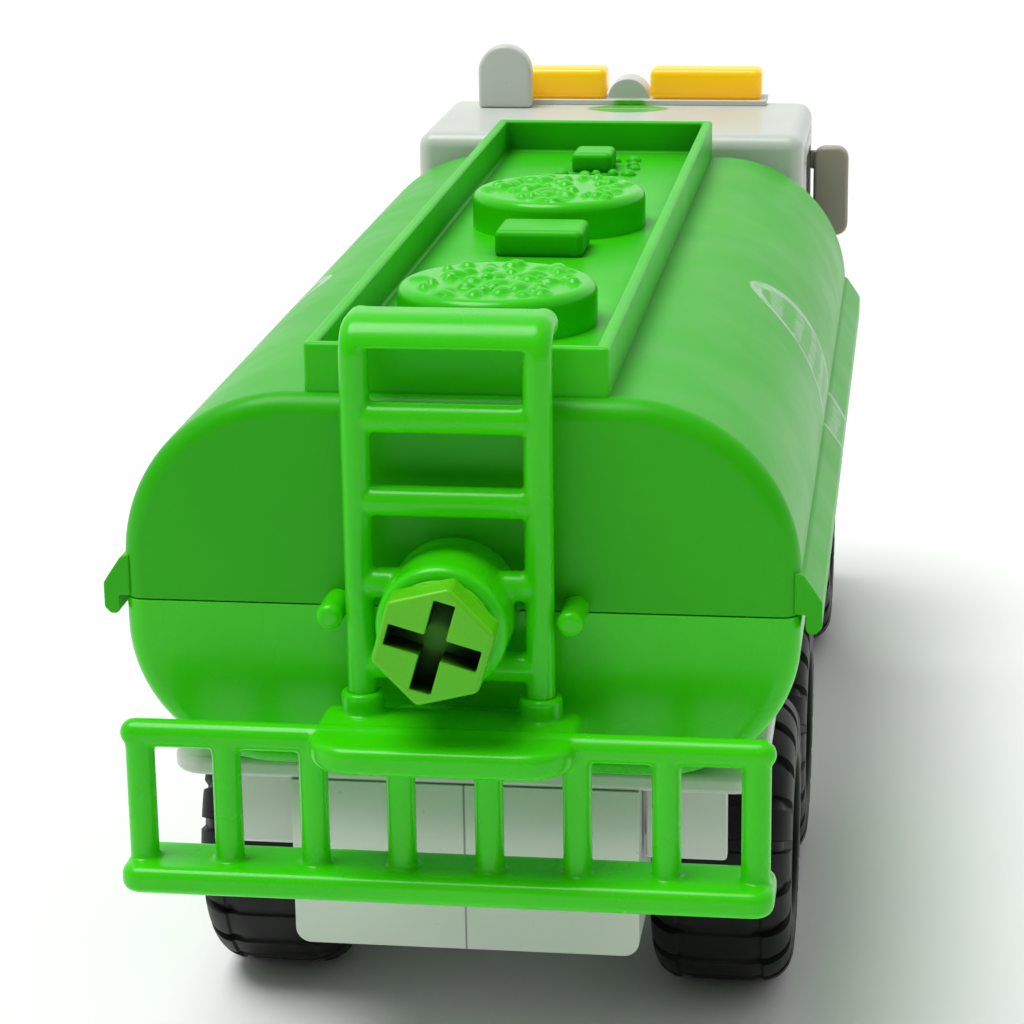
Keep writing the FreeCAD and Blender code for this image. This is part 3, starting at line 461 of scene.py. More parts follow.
def oval_share(paint, across, along, centre, reach, soft):
    """1 inside an oval and 0 outside it, from two coordinates in metres and sizes in millimetres."""
    squares = []
    for value, middle_of, half in zip((across, along), centre, reach):
        away = paint.maths("DIVIDE", paint.maths("SUBTRACT", value, middle_of * MM), half * MM)
        squares.append(paint.maths("MULTIPLY", away, away))
    return paint.between(paint.maths("SQRT", paint.maths("ADD", *squares)), 1 - soft, 1.0, 1.0, 0.0)


def side_print(paint, base):
    """A worn, pale oval leaf printed on each upper side of the tank."""
    split = paint.node("ShaderNodeSeparateXYZ", Vector=paint.place)
    bend_x = span("tank_lower_shell")[1].x - CROWN_RADIUS
    bend_z = span("tank_upper_shell")[1].z - CROWN_RADIUS
    across = paint.maths("SUBTRACT", paint.maths("ABSOLUTE", split.outputs[0]), bend_x * MM)
    above = paint.maths("SUBTRACT", split.outputs[2], bend_z * MM)
    # The way round the tank's upper corner is measured as an arc length.
    arc = paint.maths("MULTIPLY", paint.maths("ARCTAN2", above, across), CROWN_RADIUS * MM)
    along = split.outputs[1]
    outer = oval_share(paint, along, arc, (26.0, 8.0), (12.5, 20.0), 0.02)
    inner = oval_share(paint, along, arc, (26.5, 7.6), (10.9, 18.0), 0.03)
    ring = paint.maths("SUBTRACT", outer, inner)
    veins = paint.node("ShaderNodeTexWave", {"bands_direction": "Z"}, Vector=paint.place,
                       Scale=WAVE_SCALE / (4.2 * MM), Distortion=2.0, Detail=1.0).outputs["Fac"]
    fill = paint.maths("MULTIPLY", inner, paint.between(veins, 0.45, 0.75, 0.1, 0.5))
    worn = paint.between(paint.noise(2.4, 5.0, roughness=0.7), 0.34, 0.52, 0.15, 0.9)
    shown = paint.maths("MULTIPLY", paint.maths("ADD", ring, fill), worn)
    return paint.mix(shown, base, rgb(176, 206, 178))


def roof_print(paint, base):
    """A green leaf printed on the cab's roof: the overlap of two discs, with a pale vein."""
    split = paint.node("ShaderNodeSeparateXYZ", Vector=paint.place)
    leaf_y = at(248.6)
    discs = []
    for disc_y in (leaf_y - 5.6, leaf_y + 5.6):
        centre = (-0.5, disc_y)
        discs.append(oval_share(paint, split.outputs[0], split.outputs[1], centre, (11.2, 11.2), 0.03))
    leaf = paint.maths("MULTIPLY", *discs)
    roof_z = span("light_bar_base")[0].z
    height = paint.maths("DIVIDE", split.outputs[2], MM)
    level = paint.between(height, roof_z - 1.0, roof_z - 0.9)
    below = paint.between(height, roof_z + 1.3, roof_z + 1.4, 1.0, 0.0)
    vein = paint.maths("ABSOLUTE", paint.maths("SUBTRACT", split.outputs[1], leaf_y * MM))
    vein = paint.between(vein, 0.25 * MM, 0.4 * MM, 0.35, 1.0)
    worn = paint.between(paint.noise(1.5, 4.0, roughness=0.7), 0.3, 0.42, 0.3, 1.0)
    shown = paint.maths("MULTIPLY", leaf, paint.maths("MULTIPLY", level, below))
    shown = paint.maths("MULTIPLY", shown, paint.maths("MULTIPLY", vein, worn))
    return paint.mix(shown, base, rgb(96, 190, 58))


def lens_depth(paint, base):
    """A yellow lens looks more orange towards its foot."""
    low, high = span("light_lens_left")
    height = paint.maths("DIVIDE", paint.node("ShaderNodeSeparateXYZ", Vector=paint.place).outputs[2], MM)
    return paint.mix(paint.between(height, low.z, high.z - 2.0, 0.8, 0.0), base, rgb(246, 168, 6))


def parting_line(paint, base):
    """The dark hairline on the truck's centre line, where the two chassis halves meet."""
    split = paint.node("ShaderNodeSeparateXYZ", Vector=paint.place)
    away = paint.maths("ABSOLUTE", split.outputs[0])
    return paint.mix(paint.between(away, 0.1 * MM, 0.22 * MM, 0.7, 0.0), base, rgb(84, 90, 82))


GREEN = moulded("bright_green", rgb(64, 214, 14), rgb(56, 208, 11), rgb(120, 226, 70), 0.25, 0.32, glow=0.15)
# painted shade: the upper shell's green is a darker copy of the bright green, for the shade on its faces; the
# leaf on its sides is print
SHADED_GREEN_SHELL = moulded("bright_green_shell", rgb(52, 184, 5), rgb(47, 178, 3), rgb(112, 210, 62), 0.36, 0.22,
                      printed=side_print, glow=0.1)
# painted shade: the tray's green is a little darker than the bright green, and its corners and its floor
# between the walls are darkened further
GREEN_TRAY = moulded("bright_green_tray", rgb(60, 206, 12), rgb(52, 198, 9), rgb(114, 222, 66), 0.34, 0.2,
                     painted_shade=(rgb(22, 128, 8), 11.0, 0.8), glow=0.1)
# painted shade: recesses such as the bolt's cross recess are darkened almost to black
LIME = moulded("lime", rgb(98, 206, 28), rgb(88, 196, 24), rgb(150, 222, 90), 0.26, 0.3,
               painted_shade=(rgb(4, 22, 2), 6.0, 0.97))
OFF_WHITE = (rgb(210, 216, 208), rgb(203, 210, 201), rgb(226, 229, 224))
DUST = rgb(150, 150, 145)
WHITE = moulded("off_white", *OFF_WHITE, 0.32, speck=DUST, printed=roof_print)
WHITE_HALVES = moulded("off_white_halves", *OFF_WHITE, 0.32, speck=DUST, printed=parting_line)
AMBER = moulded("amber", rgb(255, 206, 18), rgb(252, 196, 10), rgb(255, 224, 96), 0.2, printed=lens_depth)
AMBER_SHADER = AMBER.node_tree.nodes["Principled BSDF"]
AMBER_SHADER.inputs["Emission Color"].default_value = rgb(255, 190, 10)
AMBER_SHADER.inputs["Emission Strength"].default_value = 0.28     # painted glow: the lens gives off light of its own, standing in for light let through the clear lens
BLACK = moulded("black_plastic", rgb(26, 26, 26), rgb(20, 20, 20), rgb(56, 56, 54), 0.42)
GREY = moulded("warm_grey", rgb(164, 160, 141), rgb(154, 150, 132), rgb(184, 180, 165), 0.34)
TYRE = moulded("tyre_black", rgb(15, 16, 15), rgb(11, 12, 11), rgb(34, 34, 32), 0.5, 0.3,
               speck=rgb(58, 56, 52))


def steel():
    """Bright steel with fine grain and faint stains."""
    paint = Paint("steel")
    grain = paint.noise(0.35, 3.0, place=paint.stretched(1.0, 1.0, 0.1))
    tone = paint.mix(grain, rgb(150, 152, 155), rgb(205, 206, 208))
    stain = paint.between(paint.noise(3.0, 4.0), 0.55, 0.75, 0.0, 0.5)
    paint.set(Base_Color=paint.mix(stain, tone, rgb(120, 105, 90)), Metallic=1.0,
              Roughness=paint.between(grain, 0.2, 0.8, 0.22, 0.42))
    paint.bumps((grain, 0.01))
    return paint.material


def smoked():
    """Dark, slightly clear plastic with smears."""
    paint = Paint("smoked_clear")
    smear = paint.noise(9, 4.0)
    paint.set(Base_Color=paint.mix(smear, rgb(18, 22, 26), rgb(34, 38, 42)),
              Roughness=paint.between(smear, 0.3, 0.7, 0.05, 0.16), Alpha=0.93, IOR=1.5)
    paint.bumps((paint.noise(20, 1.0), 0.03))
    return paint.material


def lens_clear():
    """A clear lens with upright ribs."""
    paint = Paint("clear_lens")
    ribs = paint.node("ShaderNodeTexWave", {"bands_direction": "X"}, Vector=paint.place,
                      Scale=WAVE_SCALE / (1.6 * MM)).outputs["Fac"]
    paint.set(Base_Color=paint.mix(ribs, rgb(205, 210, 212), rgb(238, 240, 242)),
              Roughness=paint.between(paint.noise(4, 3.0), 0.3, 0.7, 0.08, 0.18), IOR=1.5)
    paint.bumps((ribs, 0.15))
    return paint.material


STEEL = steel()
SMOKED = smoked()
LENS = lens_clear()


# ---- tank -----------------------------------------------------------------------------------
def tank_ring(y, inset, half_width, seam_z, height, corner, way):
    """One section of a half tank: up one side, over the round corners and down the other."""
    wide = half_width - inset
    tall = height - inset
    bend = corner - inset
    ring = []
    for step in range(5):
        ring.append(Vector((wide, y, seam_z + way * (tall - bend) * step / 5)))
    for step in range(33):
        angle = math.pi / 2 * step / 32
        ring.append(Vector((wide - bend + bend * math.cos(angle), y,
                            seam_z + way * (tall - bend + bend * math.sin(angle)))))
    ring += [Vector((-point.x, y, point.z)) for point in reversed(ring)]
    return ring


def tank_skin(name, node, way, corner):
    """A half tank with softly rounded ends."""
    low, high = span(node)
    end_radius = 3.2
    half_width = span("tank_lower_shell")[1].x
    height = (high.z - SEAM_Z if way > 0 else SEAM_Z - low.z) - SEAM_GAP
    ends = []
    for step in range(9):
        angle = math.pi / 2 * step / 8
        ends.append((end_radius * (1 - math.cos(angle)), end_radius * (1 - math.sin(angle))))
    stations = [(low.y + ahead, inset) for ahead, inset in ends]
    stations += [(low.y + (high.y - low.y) * share / 6, 0.0) for share in range(1, 6)]
    stations += [(high.y - ahead, inset) for ahead, inset in reversed(ends)]
    seam_z = SEAM_Z + way * SEAM_GAP
    return loft(name, [tank_ring(y, inset, half_width, seam_z, height, corner, way) for y, inset in stations])


def side_rail(side):
    """The lip that covers the seam along one side."""
    low, high = span("tank_upper_shell")
    outer = high.x
    wall = span("tank_lower_shell")[1].x - 1.0
    outline = [(wall, 6.7), (wall + 1.3, 6.4), (outer - 0.9, 3.6), (outer, 2.2), (outer, -1.6),
               (outer - 0.9, -2.6), (outer - 1.9, -2.6), (outer - 2.4, -2.0), (outer - 2.4, 0.3), (wall, 0.3)]
    soft = filleted(outline, (0, 1.5, 1.5, 1.2, 0.8, 0.8, 0.6, 0.6, 0.3, 0), 4)
    outline = [(side * x, SEAM_Z + z) for x, z in soft]
    end_gap = 0.6
    rail = extrude("rail", outline, "Y", low.y + end_gap, high.y - end_gap)
    bevel(rail, 0.8, 4, 50)
    return rail


def tank():
    upper = tank_skin("tank_upper_skin", "tank_upper_shell", 1, CROWN_RADIUS)
    bevel(upper, 0.1, 2, 60)
    combine(upper, [side_rail(1), side_rail(-1)], "UNION")
    piece(upper, "truck", "tank_upper_shell", SHADED_GREEN_SHELL, 40)
    lower = tank_skin("tank_lower_skin", "tank_lower_shell", -1, BELLY_RADIUS)
    bevel(lower, 0.35, 3, 60)
    piece(lower, "truck", "tank_lower_shell", GREEN, 40)


def tray():
    """The walled walkway: four thin walls, a floor, two hinge blocks and a few rough knobs."""
    low, high = span("walkway_tray")
    wall = 1.95
    foot = TRAY_FLOOR_Z - 0.4                     # blocks and knobs start a little under the floor
    outer = block("walkway_tray_moulding", low + Vector((0, 0, -0.6)), high)
    well_low = (low.x + wall, low.y + wall, TRAY_FLOOR_Z)
    well = block("well", well_low, (high.x - wall, high.y - wall, high.z + 2))
    combine(outer, [well], "DIFFERENCE")
    blocks = []
    for half, start, end, rise in ((7.8, 97.0, 109.0, 4.7), (4.1, 181.0, 190.5, 4.0)):
        blocks.append(block("hinge", (-half, at(end), foot), (half, at(start), TRAY_FLOOR_Z + rise), 1.2))
    bevel(outer, 0.6, 4, 40)
    combine(outer, blocks, "UNION")
    piece(join("walkway_tray_moulding", [outer] + tray_knobs(foot)), "truck", "walkway_tray", GREEN_TRAY, 40)


def tray_knobs(foot):
    """Rough knobs on the walkway's floor, on both sides of the front hinge block."""
    knobs = []
    for row in range(4):
        for column in range(5):
            place = Vector((-7.6 + 3.1 * column + random.uniform(-0.8, 0.8),
                            at(179.0) - 5.2 * row + random.uniform(-1.2, 1.2), foot))
            if not (-5.4 < place.x < 5.4 and 179.5 < REAR_Y - place.y < 192.0):
                knobs.append(dome(place, random.uniform(1.1, 1.7), random.uniform(1.3, 1.9)))
    return knobs


def dome(foot, radius, height):
    """A low round knob that stands on a floor."""
    profile = []
    for step in range(9):
        angle = math.pi / 2 * step / 8
        profile.append((height * math.sin(angle), max(radius * math.cos(angle), 0.03)))
    return lathe("knob", profile, foot, "Z", 24)


def lid_knobs(field):
    """Irregular knobs inside a circle, as (x, y, half width, height, turn, how much longer than wide)."""
    knobs = []
    while len(knobs) < 44:
        x = random.uniform(-field, field)
        y = random.uniform(-field, field)
        size = random.uniform(0.8, 1.6)
        inside = math.hypot(x, y) < field - size * 0.6
        apart = all(math.hypot(x - other[0], y - other[1]) > 0.72 * (size + other[2]) for other in knobs)
        if inside and apart:
            knobs.append((x, y, size, random.uniform(0.6, 1.05), random.uniform(0, math.pi),
                          random.uniform(1.0, 1.7)))
    return knobs


def knob_height(x, y, knobs):
    """How high the tallest knob stands at a place on the lid."""
    height = 0.0
    reach = 3.2                                   # no knob is longer than this from its centre
    for knob_x, knob_y, size, tall, turn, stretch in knobs:
        away_x = x - knob_x
        away_y = y - knob_y
        if abs(away_x) > reach or abs(away_y) > reach:
            continue
        along = (away_x * math.cos(turn) + away_y * math.sin(turn)) / (size * stretch)
        across = (away_y * math.cos(turn) - away_x * math.sin(turn)) / size
        share = 1 - along * along - across * across
        if share > 0:
            height = max(height, tall * share ** 0.75)
    return height


def lid(node):
    """A round lid whose top is covered with irregular knobs inside a smooth rim."""
    low, high = span(node)
    centre = Vector(((low.x + high.x) / 2, (low.y + high.y) / 2, 0))
    radius = (high.x - low.x) / 2
    edge = 1.8
    field = radius - edge
    rings = 48
    profile = [(TRAY_FLOOR_Z - 0.2, radius)]
    profile += rounded_end(high.z, radius, edge)
    profile += [(high.z, field * (1 - step / rings)) for step in range(rings)]
    profile.append((high.z, 0.05))
    obj = lathe(node + "_moulding", profile, centre, "Z", 160)
    knobs = lid_knobs(field)
    for vertex in obj.data.vertices:
        if vertex.co.z < (high.z - 0.01) * MM:
            continue
        vertex.co.z += knob_height(vertex.co.x / MM - centre.x, vertex.co.y / MM - centre.y, knobs) * MM
    piece(obj, "truck", node, GREEN, 50)


def pegs():
    """The two round pegs on the seam."""
    low, high = span("seam_pegs")
    radius = (high.z - low.z) / 2
    parts = []
    for x in (low.x + radius, high.x - radius):
        profile = [(low.y - 0.5, radius)] + rounded_end(high.y, radius, 1.2, 6)
        parts.append(lathe("peg", profile, Vector((x, 0, (low.z + high.z) / 2)), "Y", 40))
    piece(join("seam_pegs_moulding", parts), "truck", "seam_pegs", GREEN, 50)


# ---- ladder, bolt and guard -------------------------------------------------------------------
def capsule(name, start, end, radius):
    """A bar along X with hemispherical ends."""
    profile = []
    length = end.x - start.x
    for step in range(8):
        angle = math.pi / 2 * step / 8
        profile.append((radius * (1 - math.cos(angle)), max(radius * math.sin(angle), 0.02)))
    profile += [(radius, radius), (length - radius, radius)]
    profile += [(length - along, high) for along, high in reversed(profile[:8])]
    return lathe(name, profile, start, "X", 40)


def ladder_rail(x, y, low, top_z, radius, bend):
    """One rail, whose top bends forward over the tray's rear wall."""
    path = [Vector((x, y, low.z)), Vector((x, y, top_z - bend))]
    for step in range(1, 11):
        angle = math.pi / 2 * step / 10
        path.append(Vector((x, y - bend * (1 - math.cos(angle)), top_z - bend * (1 - math.sin(angle)))))
    path.append(Vector((x, low.y, top_z)))
    return tube("rail", path, radius)


def ladder_bar(rail_x, rail_y, low, top_z, radius, bend):
    """The bar between the rails' bent tops, with their curve along its back."""
    outer_bend = bend + radius
    front = low.y + 0.6
    outline = [(front, top_z - radius), (front, top_z + radius)]
    for step in range(13):
        angle = math.radians(90 - 74 * step / 12)
        y = rail_y - bend + outer_bend * math.cos(angle)
        outline.append((y, top_z - bend + outer_bend * math.sin(angle)))
    outline.append((rail_y + 0.6, top_z - radius))
    return extrude("bar", outline, "X", -rail_x, rail_x)


def ladder():
    """Two bent rails, a top bar, four rungs and the round boss that the bolt goes through."""
    low, high = span("ladder")
    rail_radius = 2.15
    bend = 3.6
    rail_x = high.x - rail_radius
    rail_y = REAR_Y + RAIL_SETBACK
    top_z = high.z - rail_radius
    parts = [ladder_rail(x, rail_y, low, top_z, rail_radius, bend) for x in (-rail_x, rail_x)]
    parts.append(ladder_bar(rail_x, rail_y, low, top_z, rail_radius, bend))
    for step in range(1, 5):
        z = top_z - step * 12.4
        parts.append(capsule("rung", Vector((-rail_x, rail_y, z)), Vector((rail_x, rail_y, z)), 2.25))
    boss_radius = 9.6
    boss_front = low.y + 1.8
    profile = [(boss_front, SHANK_HOLE_RADIUS), (boss_front, boss_radius)]
    profile += rounded_end(high.y, boss_radius, 1.6)
    profile.append((high.y, SHANK_HOLE_RADIUS))
    parts.append(lathe("boss", profile, Vector((0, 0, BOLT_Z)), "Y", 96, wraps=True))
    piece(melt("ladder_moulding", parts, 0.3, 5), "truck", "ladder", GREEN, 60)


def bolt():
    """The big hexagon bolt with its deep cross recess."""
    low, high = span("rear_bolt")
    seat_y = span("rear_bolt_washer")[1].y + 0.1
    outline = [(x, BOLT_Z + z) for x, z in hexagon(9.2, -14.0)]
    head = extrude("rear_bolt_moulding", outline, "Y", seat_y, high.y)
    bevel(head, 0.75, 5)
    slot = 1.55
    reach = 6.85
    arms = []
    for half_x, half_z in ((slot, reach), (reach, slot)):
        outline = rectangle((-half_x, half_x), (-half_z, half_z))
        arms.append(extrude("arm", outline, "Y", high.y - 4.6, high.y + 1))
    cross = arms[0]
    combine(cross, [arms[1]], "UNION")
    cross.data.transform(Matrix.Rotation(math.radians(-16.0), 4, "Y"))
    cross.data.transform(Matrix.Translation((0, 0, BOLT_Z * MM)))
    combine(head, [cross], "DIFFERENCE")
    bevel(head, 0.3, 3, 50)
    profile = [(low.y, 3.4), (low.y + 0.6, 4.0), (seat_y + 1, 4.0)]
    shank = lathe("shank", profile, Vector((0, 0, BOLT_Z)), "Y", 64)
    piece(join("rear_bolt_moulding", [head, shank]), "bolt", "rear_bolt", LIME, 40)


def washer():
    """The flat ring under the bolt's head."""
    low, high = span("rear_bolt_washer")
    radius = (high.x - low.x) / 2
    corners = [(low.y, SHANK_HOLE_RADIUS), (low.y, radius), (high.y, radius), (high.y, SHANK_HOLE_RADIUS)]
    profile = filleted(corners, (0, 0.25, 0.25, 0), 3)
    obj = lathe("rear_bolt_washer_disc", profile, Vector((0, 0, BOLT_Z)), "Y", 96, wraps=True)
    piece(obj, "bolt_washer", "rear_bolt_washer", LIME)


def guard():
    """The step with its ladder sockets, and the barred guard below it."""
    low, high = span("rear_guard")
    upright = 2.15
    shelf_height = 4.2
    socket_rise = 3.4
    step_top = high.z - socket_rise
    bar_z = step_top - 1.6
    guard_y = REAR_Y + 14.0
    parts = [capsule("top", Vector((low.x, guard_y, bar_z)), Vector((high.x, guard_y, bar_z)), 2.1)]
    for index in range(8):
        x = (index - 3.5) * 12.9
        profile = [(low.z + shelf_height / 2, upright), (bar_z, upright)]
        parts.append(lathe("upright", profile, Vector((x, guard_y, 0)), "Z", 32))
    back = guard_y + upright + 3.4
    outline = filleted(rectangle((low.x, high.x), (back - 12.0, back)), (3.0,) * 4, 6)
    shelf = extrude("shelf", outline, "Z", low.z, low.z + shelf_height)
    bevel(shelf, 1.6, 5, 50)
    outline = filleted(rectangle((-19.3, 19.3), (REAR_Y + 3.2, high.y)), (0, 0, 7, 7), 10)
    plate = extrude("plate", outline, "Z", step_top - 4.2, step_top)
    bevel(plate, 1.4, 5, 50)
    tongue = block("tongue", (-9, low.y, step_top - 3.1), (9, REAR_Y + 5, step_top - 1.1))
    parts += [shelf, plate, tongue]
    inner, outer = 2.0, 3.2
    foot, rim = step_top - 1, step_top + socket_rise
    profile = filleted([(foot, inner), (foot, outer), (rim, outer), (rim, inner)], (0, 0, 0.7, 0), 4)
    for x in (-13.2, 13.2):
        parts.append(lathe("socket", profile, Vector((x, REAR_Y + RAIL_SETBACK, 0)), "Z", 48, wraps=True))
    piece(melt("rear_guard_moulding", parts, 0.32, 5), "truck", "rear_guard", GREEN, 60)


# ---- wheels -----------------------------------------------------------------------------------
LUGS = 20                # tread blocks round a tyre
RIM_RADIUS = 13.5
GROOVE_FLOOR = 0.036     # half the width of a cross groove's floor, in radians
GROOVE_FLANK = 0.012     # width of each of its sloping sides


def tyre_profile(low_x, high_x, rim, radius):
    """The tyre's section as (x, radius) points, with more of them across the tread."""
    corners = [(low_x, rim), (low_x, radius), (high_x, radius), (high_x, rim)]
    outline = filleted(corners, (0.8, 6.0, 6.0, 0.8), 9)
    points = []
    for index in range(len(outline)):
        here = outline[index]
        there = outline[(index + 1) % len(outline)]
        pieces = 8 if abs(there.x - here.x) > 8 and here.y > (rim + radius) / 2 else 2
        for step in range(pieces):
            points.append(here.lerp(there, step / pieces))
    return points


def groove_share(angle):
    """How deep in a cross groove this angle lies, from 0 to 1."""
    pitch = 2 * math.pi / LUGS
    away = abs((angle + pitch / 2) % pitch - pitch / 2)
    return max(0.0, min(1.0, (GROOVE_FLOOR + GROOVE_FLANK - away) / GROOVE_FLANK))


def tread_depth(radius, top, off_centre, middle_band, angle):
    """How far the surface lies under the plain section, at a radius on a tyre as high as top."""
    depth = 0.0
    if radius > top - 5.2:
        depth = (1.15 if off_centre > middle_band else 0.45) * groove_share(angle)
    if 1.0 < off_centre - middle_band < 2.0 and radius > top - 1:
        depth = max(depth, 0.35)                  # groove along each side of the middle band
    if abs(radius - 17.3) < 0.7:
        depth = -0.25                             # raised ring on the side wall
    return depth


def tyre(node, body):
    """A chunky tyre with cross grooves over its tread and a ring on its side walls."""
    low, high = span(node)
    centre = (low + high) / 2
    radius = (high.z - low.z) / 2
    outline = tyre_profile(low.x, high.x, RIM_RADIUS, radius)
    middle_band = (high.x - low.x) / 2 * 0.42
    pitch = 2 * math.pi / LUGS
    steps = (0.0, GROOVE_FLOOR / 2, GROOVE_FLOOR, GROOVE_FLOOR + GROOVE_FLANK, 0.1, pitch / 2)
    angles = []
    for lug in range(LUGS):
        angles += [lug * pitch + step for step in steps]
        angles += [(lug + 1) * pitch - step for step in reversed(steps[1:5])]
    rings = []
    for angle in angles:
        ring = []
        for index, point in enumerate(outline):
            before = outline[index - 1]
            after = outline[(index + 1) % len(outline)]
            along = (after - before).normalized()
            outwards = Vector((along.y, -along.x))
            if outwards.dot(point - Vector((centre.x, (RIM_RADIUS + radius) / 2))) < 0:
                outwards = -outwards
            off_centre = abs(point.x - centre.x)
            moved = point - outwards * tread_depth(point.y, radius, off_centre, middle_band, angle)
            up = Vector((0, math.cos(angle), math.sin(angle))) * moved.y
            ring.append(Vector((moved.x, centre.y, centre.z)) + up)
        rings.append(ring)
    obj = loft(node + "_moulding", rings, wraps=True)
    piece(obj, body, node, TYRE, 32)


def hub(node, body, side):
    """A dished wheel centre with six nuts and a domed cap."""
    low, high = span(node)
    centre = (low + high) / 2
    radius = (high.z - low.z) / 2
    face = high.x if side > 0 else -low.x
    back = low.x if side > 0 else -high.x
    outline = [(back, 5.0), (back, radius), (face, radius), (face, radius - 1.5), (face - 3.2, radius - 3.0),
               (face - 3.4, 6.2), (face - 0.9, 5.4), (face - 0.4, 4.4), (face - 0.2, 2.2), (face - 0.2, 0.05),
               (back + 2.4, 0.05), (back + 2.4, 5.0)]
    soft = filleted(outline, (0, 0, 0.4, 0.5, 1.0, 0.8, 0.5, 0.5, 0.3, 0, 0, 0), 4)
    profile = [(side * x, r) for x, r in soft]
    disc = lathe(node + "_moulding", profile, Vector((0, centre.y, centre.z)), "X", 84, wraps=True)
    nuts = []
    for place_y, place_z in hexagon(8.1):
        outline = [(centre.y + place_y + y, centre.z + place_z + z) for y, z in hexagon(1.25)]
        nut = extrude("nut", outline, "X", side * (face - 4.4), side * (face - 1.9))
        bevel(nut, 0.25, 2)
        nuts.append(nut)
    piece(join(node + "_moulding", [disc] + nuts), body, node, GREEN, 38)


# ---- cab --------------------------------------------------------------------------------------
def cab_body(name, inset, low_z):
    """The cab's outer volume, or its inner one when inset."""
    low, high = span("cab_shell")
    top = high.z - inset
    rear = high.y - inset
    front = low.y + inset
    outline = [(rear, low_z - 6), (rear, top), (front + 2.5, top), (front, SEAM_Z + 2.0), (front, low_z - 6)]
    half = high.x - inset
    body = extrude(name, outline, "X", -half, half)
    bevel(body, 3.2 - inset * 0.7, 6)
    floor = block("floor", (-60, low.y - 10, low_z - 20), (60, high.y + 10, low_z))
    combine(body, [floor], "DIFFERENCE")
    return body


def door_cutter(wide, tall, start, end):
    """A cutter along X that leaves a narrow groove round a door, a rounded rectangle."""
    radius = 3.0
    groove = 0.45
    outer = extrude("door", filleted(rectangle(wide, tall), (radius,) * 4, 5), "X", start, end)
    inner_corners = rectangle((wide[0] + groove, wide[1] - groove), (tall[0] + groove, tall[1] - groove))
    inner = extrude("inner", filleted(inner_corners, (radius - groove,) * 4, 5), "X", start - 1, end + 1)
    combine(outer, [inner], "DIFFERENCE")
    return outer


def window_cutter(name, axis, wide, top_z, start, end):
    """A cutter for a window with rounded corners, from the sill up to a height."""
    outline = filleted(rectangle(wide, (SEAM_Z + 3.0, top_z)), (2.5,) * 4, 5)
    return extrude(name, outline, axis, start, end)


def cab():
    """The cab's shell, with window openings, wheel arches, door grooves and handles."""
    low, high = span("cab_shell")
    through = 60                                  # reach of a cutter that passes right across the cab
    shell = cab_body("cab_moulding", 0.0, low.z)
    arch = span("tyre_front_left")[1].z / 2 + 2.4
    beam_top = span("cab_floor")[0].z
    cutters = [
        cab_body("inside", 2.0, low.z - 1),
        lathe("arch", [(-through, arch), (through, arch)], middle("axle_front"), "X", 96),
        window_cutter("side", "X", (at(254.0), at(225.0)), high.z - 8, -through, through),
        window_cutter("windscreen", "Y", (-34.5, 34.5), high.z - 7, low.y - 3, low.y + 8),
        block("beam", (-22.1, high.y - 3, low.z - 2), (22.1, high.y + 1, beam_top)),
    ]
    for side in (-1, 1):
        start, end = sorted((side * (high.x - 0.35), side * (high.x + 2)))
        cutters.append(door_cutter((at(257.5), at(221.5)), (low.z + 22.5, high.z - 4.5), start, end))
    combine(shell, cutters, "DIFFERENCE")
    handles = []
    for side in (-1, 1):
        start, end = sorted((side * (high.x - 0.4), side * (high.x + 0.9)))
        handles.append(block("handle", (start, at(234.0), SEAM_Z - 4.8), (end, at(225.5), SEAM_Z - 2.4), 0.5))
    combine(shell, handles, "UNION")
    bevel(shell, 0.18, 2, 50)
    piece(shell, "truck", "cab_shell", WHITE, 40)


def lenses():
    """The light bar's two yellow lenses."""
    for side in ("left", "right"):
        low, high = span(f"light_lens_{side}")
        lens = block(f"light_lens_{side}_moulding", low, high, 1.5, 5)
        piece(lens, "truck", f"light_lens_{side}", AMBER, 40)


def intake():
    """The upright round-topped tab on the roof."""
    low, high = span("roof_air_intake")
    radius = (high.x - low.x) / 2
    centre_x = (low.x + high.x) / 2
    centre_z = high.z - radius
    outline = [(high.x, low.z)]
    for step in range(25):
        angle = math.pi * step / 24
        outline.append((centre_x + radius * math.cos(angle), centre_z + radius * math.sin(angle)))
    outline.append((low.x, low.z))
    obj = extrude("roof_air_intake_moulding", outline, "Y", low.y, high.y)
    bevel(obj, 0.9, 4, 50)
    piece(obj, "truck", "roof_air_intake", WHITE, 50)


def mirror():
    """The one mirror, on the cab's right."""
    low, high = span("mirror_right")
    housing_top = high.z - 3.2
    corners = rectangle((low.x, high.x - 0.9), (low.z, housing_top))
    housing = extrude("mirror_right_moulding", filleted(corners, (2.6,) * 4, 6), "Y", low.y, high.y)
    bevel(housing, 0.8, 4, 50)
    arm_top = housing_top - 1.0
    arm = block("arm", (high.x - 4.7, low.y + 1, arm_top - 4.0), (high.x, high.y - 1, arm_top), 0.5)
    combine(housing, [arm], "UNION")
    piece(housing, "truck", "mirror_right", GREY, 45)


# ---- put everything together --------------------------------------------------------------------
tank()
tray()
lid("filler_lid_rear")
lid("filler_lid_front")
pegs()
ladder()
bolt()
washer()
guard()
AXLES = ("rear", "middle", "front")
for place in AXLES:
    for name, side in (("left", 1), ("right", -1)):
        tyre(f"tyre_{place}_{name}", f"wheels_{place}")
        hub(f"hub_{place}_{name}", f"wheels_{place}", side)
cab()
lenses()
intake()
mirror()

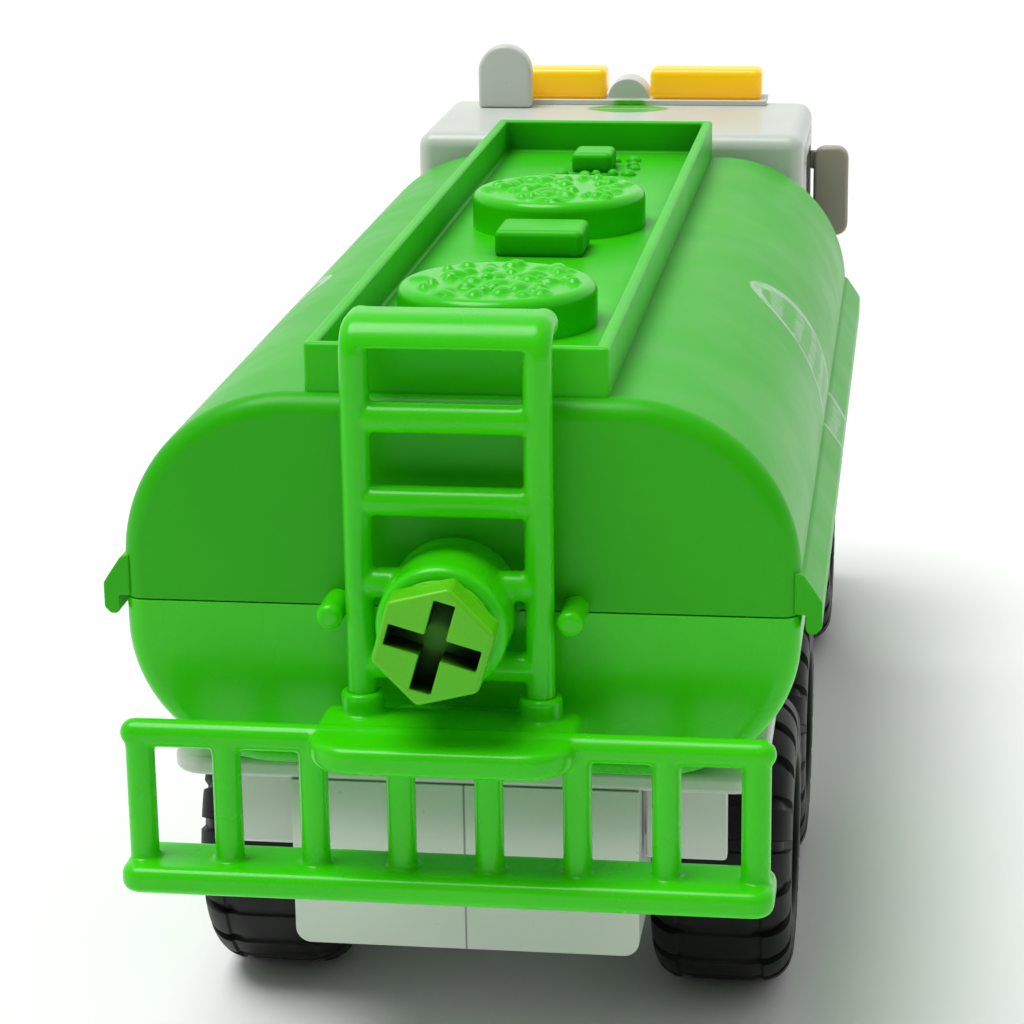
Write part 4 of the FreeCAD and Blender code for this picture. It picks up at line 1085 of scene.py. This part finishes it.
# CAD nodes that are shown as they are: material, width of their softened edges, names.
KEPT = (
    (STEEL, 0.1, [f"axle_{place}" for place in AXLES]),
    (WHITE_HALVES, 0.25, ("chassis_left", "chassis_right")),
    (WHITE, 0.25, ("chassis_deck", "mudflap_left", "mudflap_right", "cab_floor", "light_bar_base")),
    (STEEL, 0.08, ("tank_screws", "chassis_screws", "cab_screws")),
    (LIME, 0.3, ("rear_bolt_nut",)),
    (SMOKED, 0.1, ("cab_windows",)),
    (BLACK, 0.25, ("grille",)),
    (GREEN, 0.4, ("front_bumper",)),
    (LENS, 0.1, ("headlight_left", "headlight_right")),
)
for material, edge, nodes in KEPT:
    for node in nodes:
        keep(node, material, edge)


# ---- stage, lights and camera -----------------------------------------------------------------
def stage():
    """A wide pale floor."""
    reach = 3000
    corners = [(x, y, 0) for x, y in rectangle((-reach, reach), (-reach, reach))]
    floor = make_object("floor", corners, [(0, 1, 2, 3)])
    paint = Paint("pale_floor")
    tone = paint.mix(paint.noise(120, 3.0), rgb(248, 248, 248), rgb(252, 252, 252))
    paint.set(Base_Color=tone, Roughness=0.7)
    floor.data.materials.append(paint.material)


BACKDROP = 0.85          # brightness of the surroundings beyond the cab
ROOM = 0.16              # brightness of the surroundings behind the ladder
KEY = 2.3                # strength of the lamp


def lighting():
    """A light tent: a bright backdrop beyond the cab, a dim room behind the ladder, a soft lamp above."""
    scene = bpy.context.scene
    scene.world = bpy.data.worlds.new("studio")
    scene.world.use_nodes = True
    nodes = scene.world.node_tree.nodes
    links = scene.world.node_tree.links
    place = nodes.new("ShaderNodeTexCoord")
    split = nodes.new("ShaderNodeSeparateXYZ")
    links.new(place.outputs["Generated"], split.inputs[0])
    fade = nodes.new("ShaderNodeMapRange")
    for socket, value in zip(list(fade.inputs)[1:5], (-0.9, 0.7, BACKDROP, ROOM)):
        socket.default_value = value
    links.new(split.outputs[1], fade.inputs[0])
    sky = nodes["Background"]
    sky.inputs["Color"].default_value = (1, 1, 1, 1)
    links.new(fade.outputs[0], sky.inputs["Strength"])
    lamp = bpy.data.objects.new("key", bpy.data.lights.new("key", "SUN"))
    lamp.data.energy = KEY
    lamp.data.angle = math.radians(35)
    lamp.rotation_euler = Vector((0.3, 0.12, 1.0)).to_track_quat("Z", "Y").to_euler()
    bpy.context.collection.objects.link(lamp)
    scene.view_settings.view_transform = "Standard"


def camera():
    """The eye stands behind the truck, to its right and a little above it."""
    data = bpy.data.cameras.new("camera")
    data.lens = 105.5
    data.sensor_width = 36.0
    eye = bpy.data.objects.new("camera", data)
    heading = Matrix.Rotation(math.radians(188.07), 4, "Z")
    tilt = Matrix.Rotation(math.radians(90 - 16.51), 4, "X")
    roll = Matrix.Rotation(math.radians(-0.84), 4, "Z")
    eye.matrix_world = Matrix.Translation((-0.0672, 0.5376, 0.2180)) @ heading @ tilt @ roll
    bpy.context.collection.objects.link(eye)
    bpy.context.scene.camera = eye


stage()
lighting()
camera()
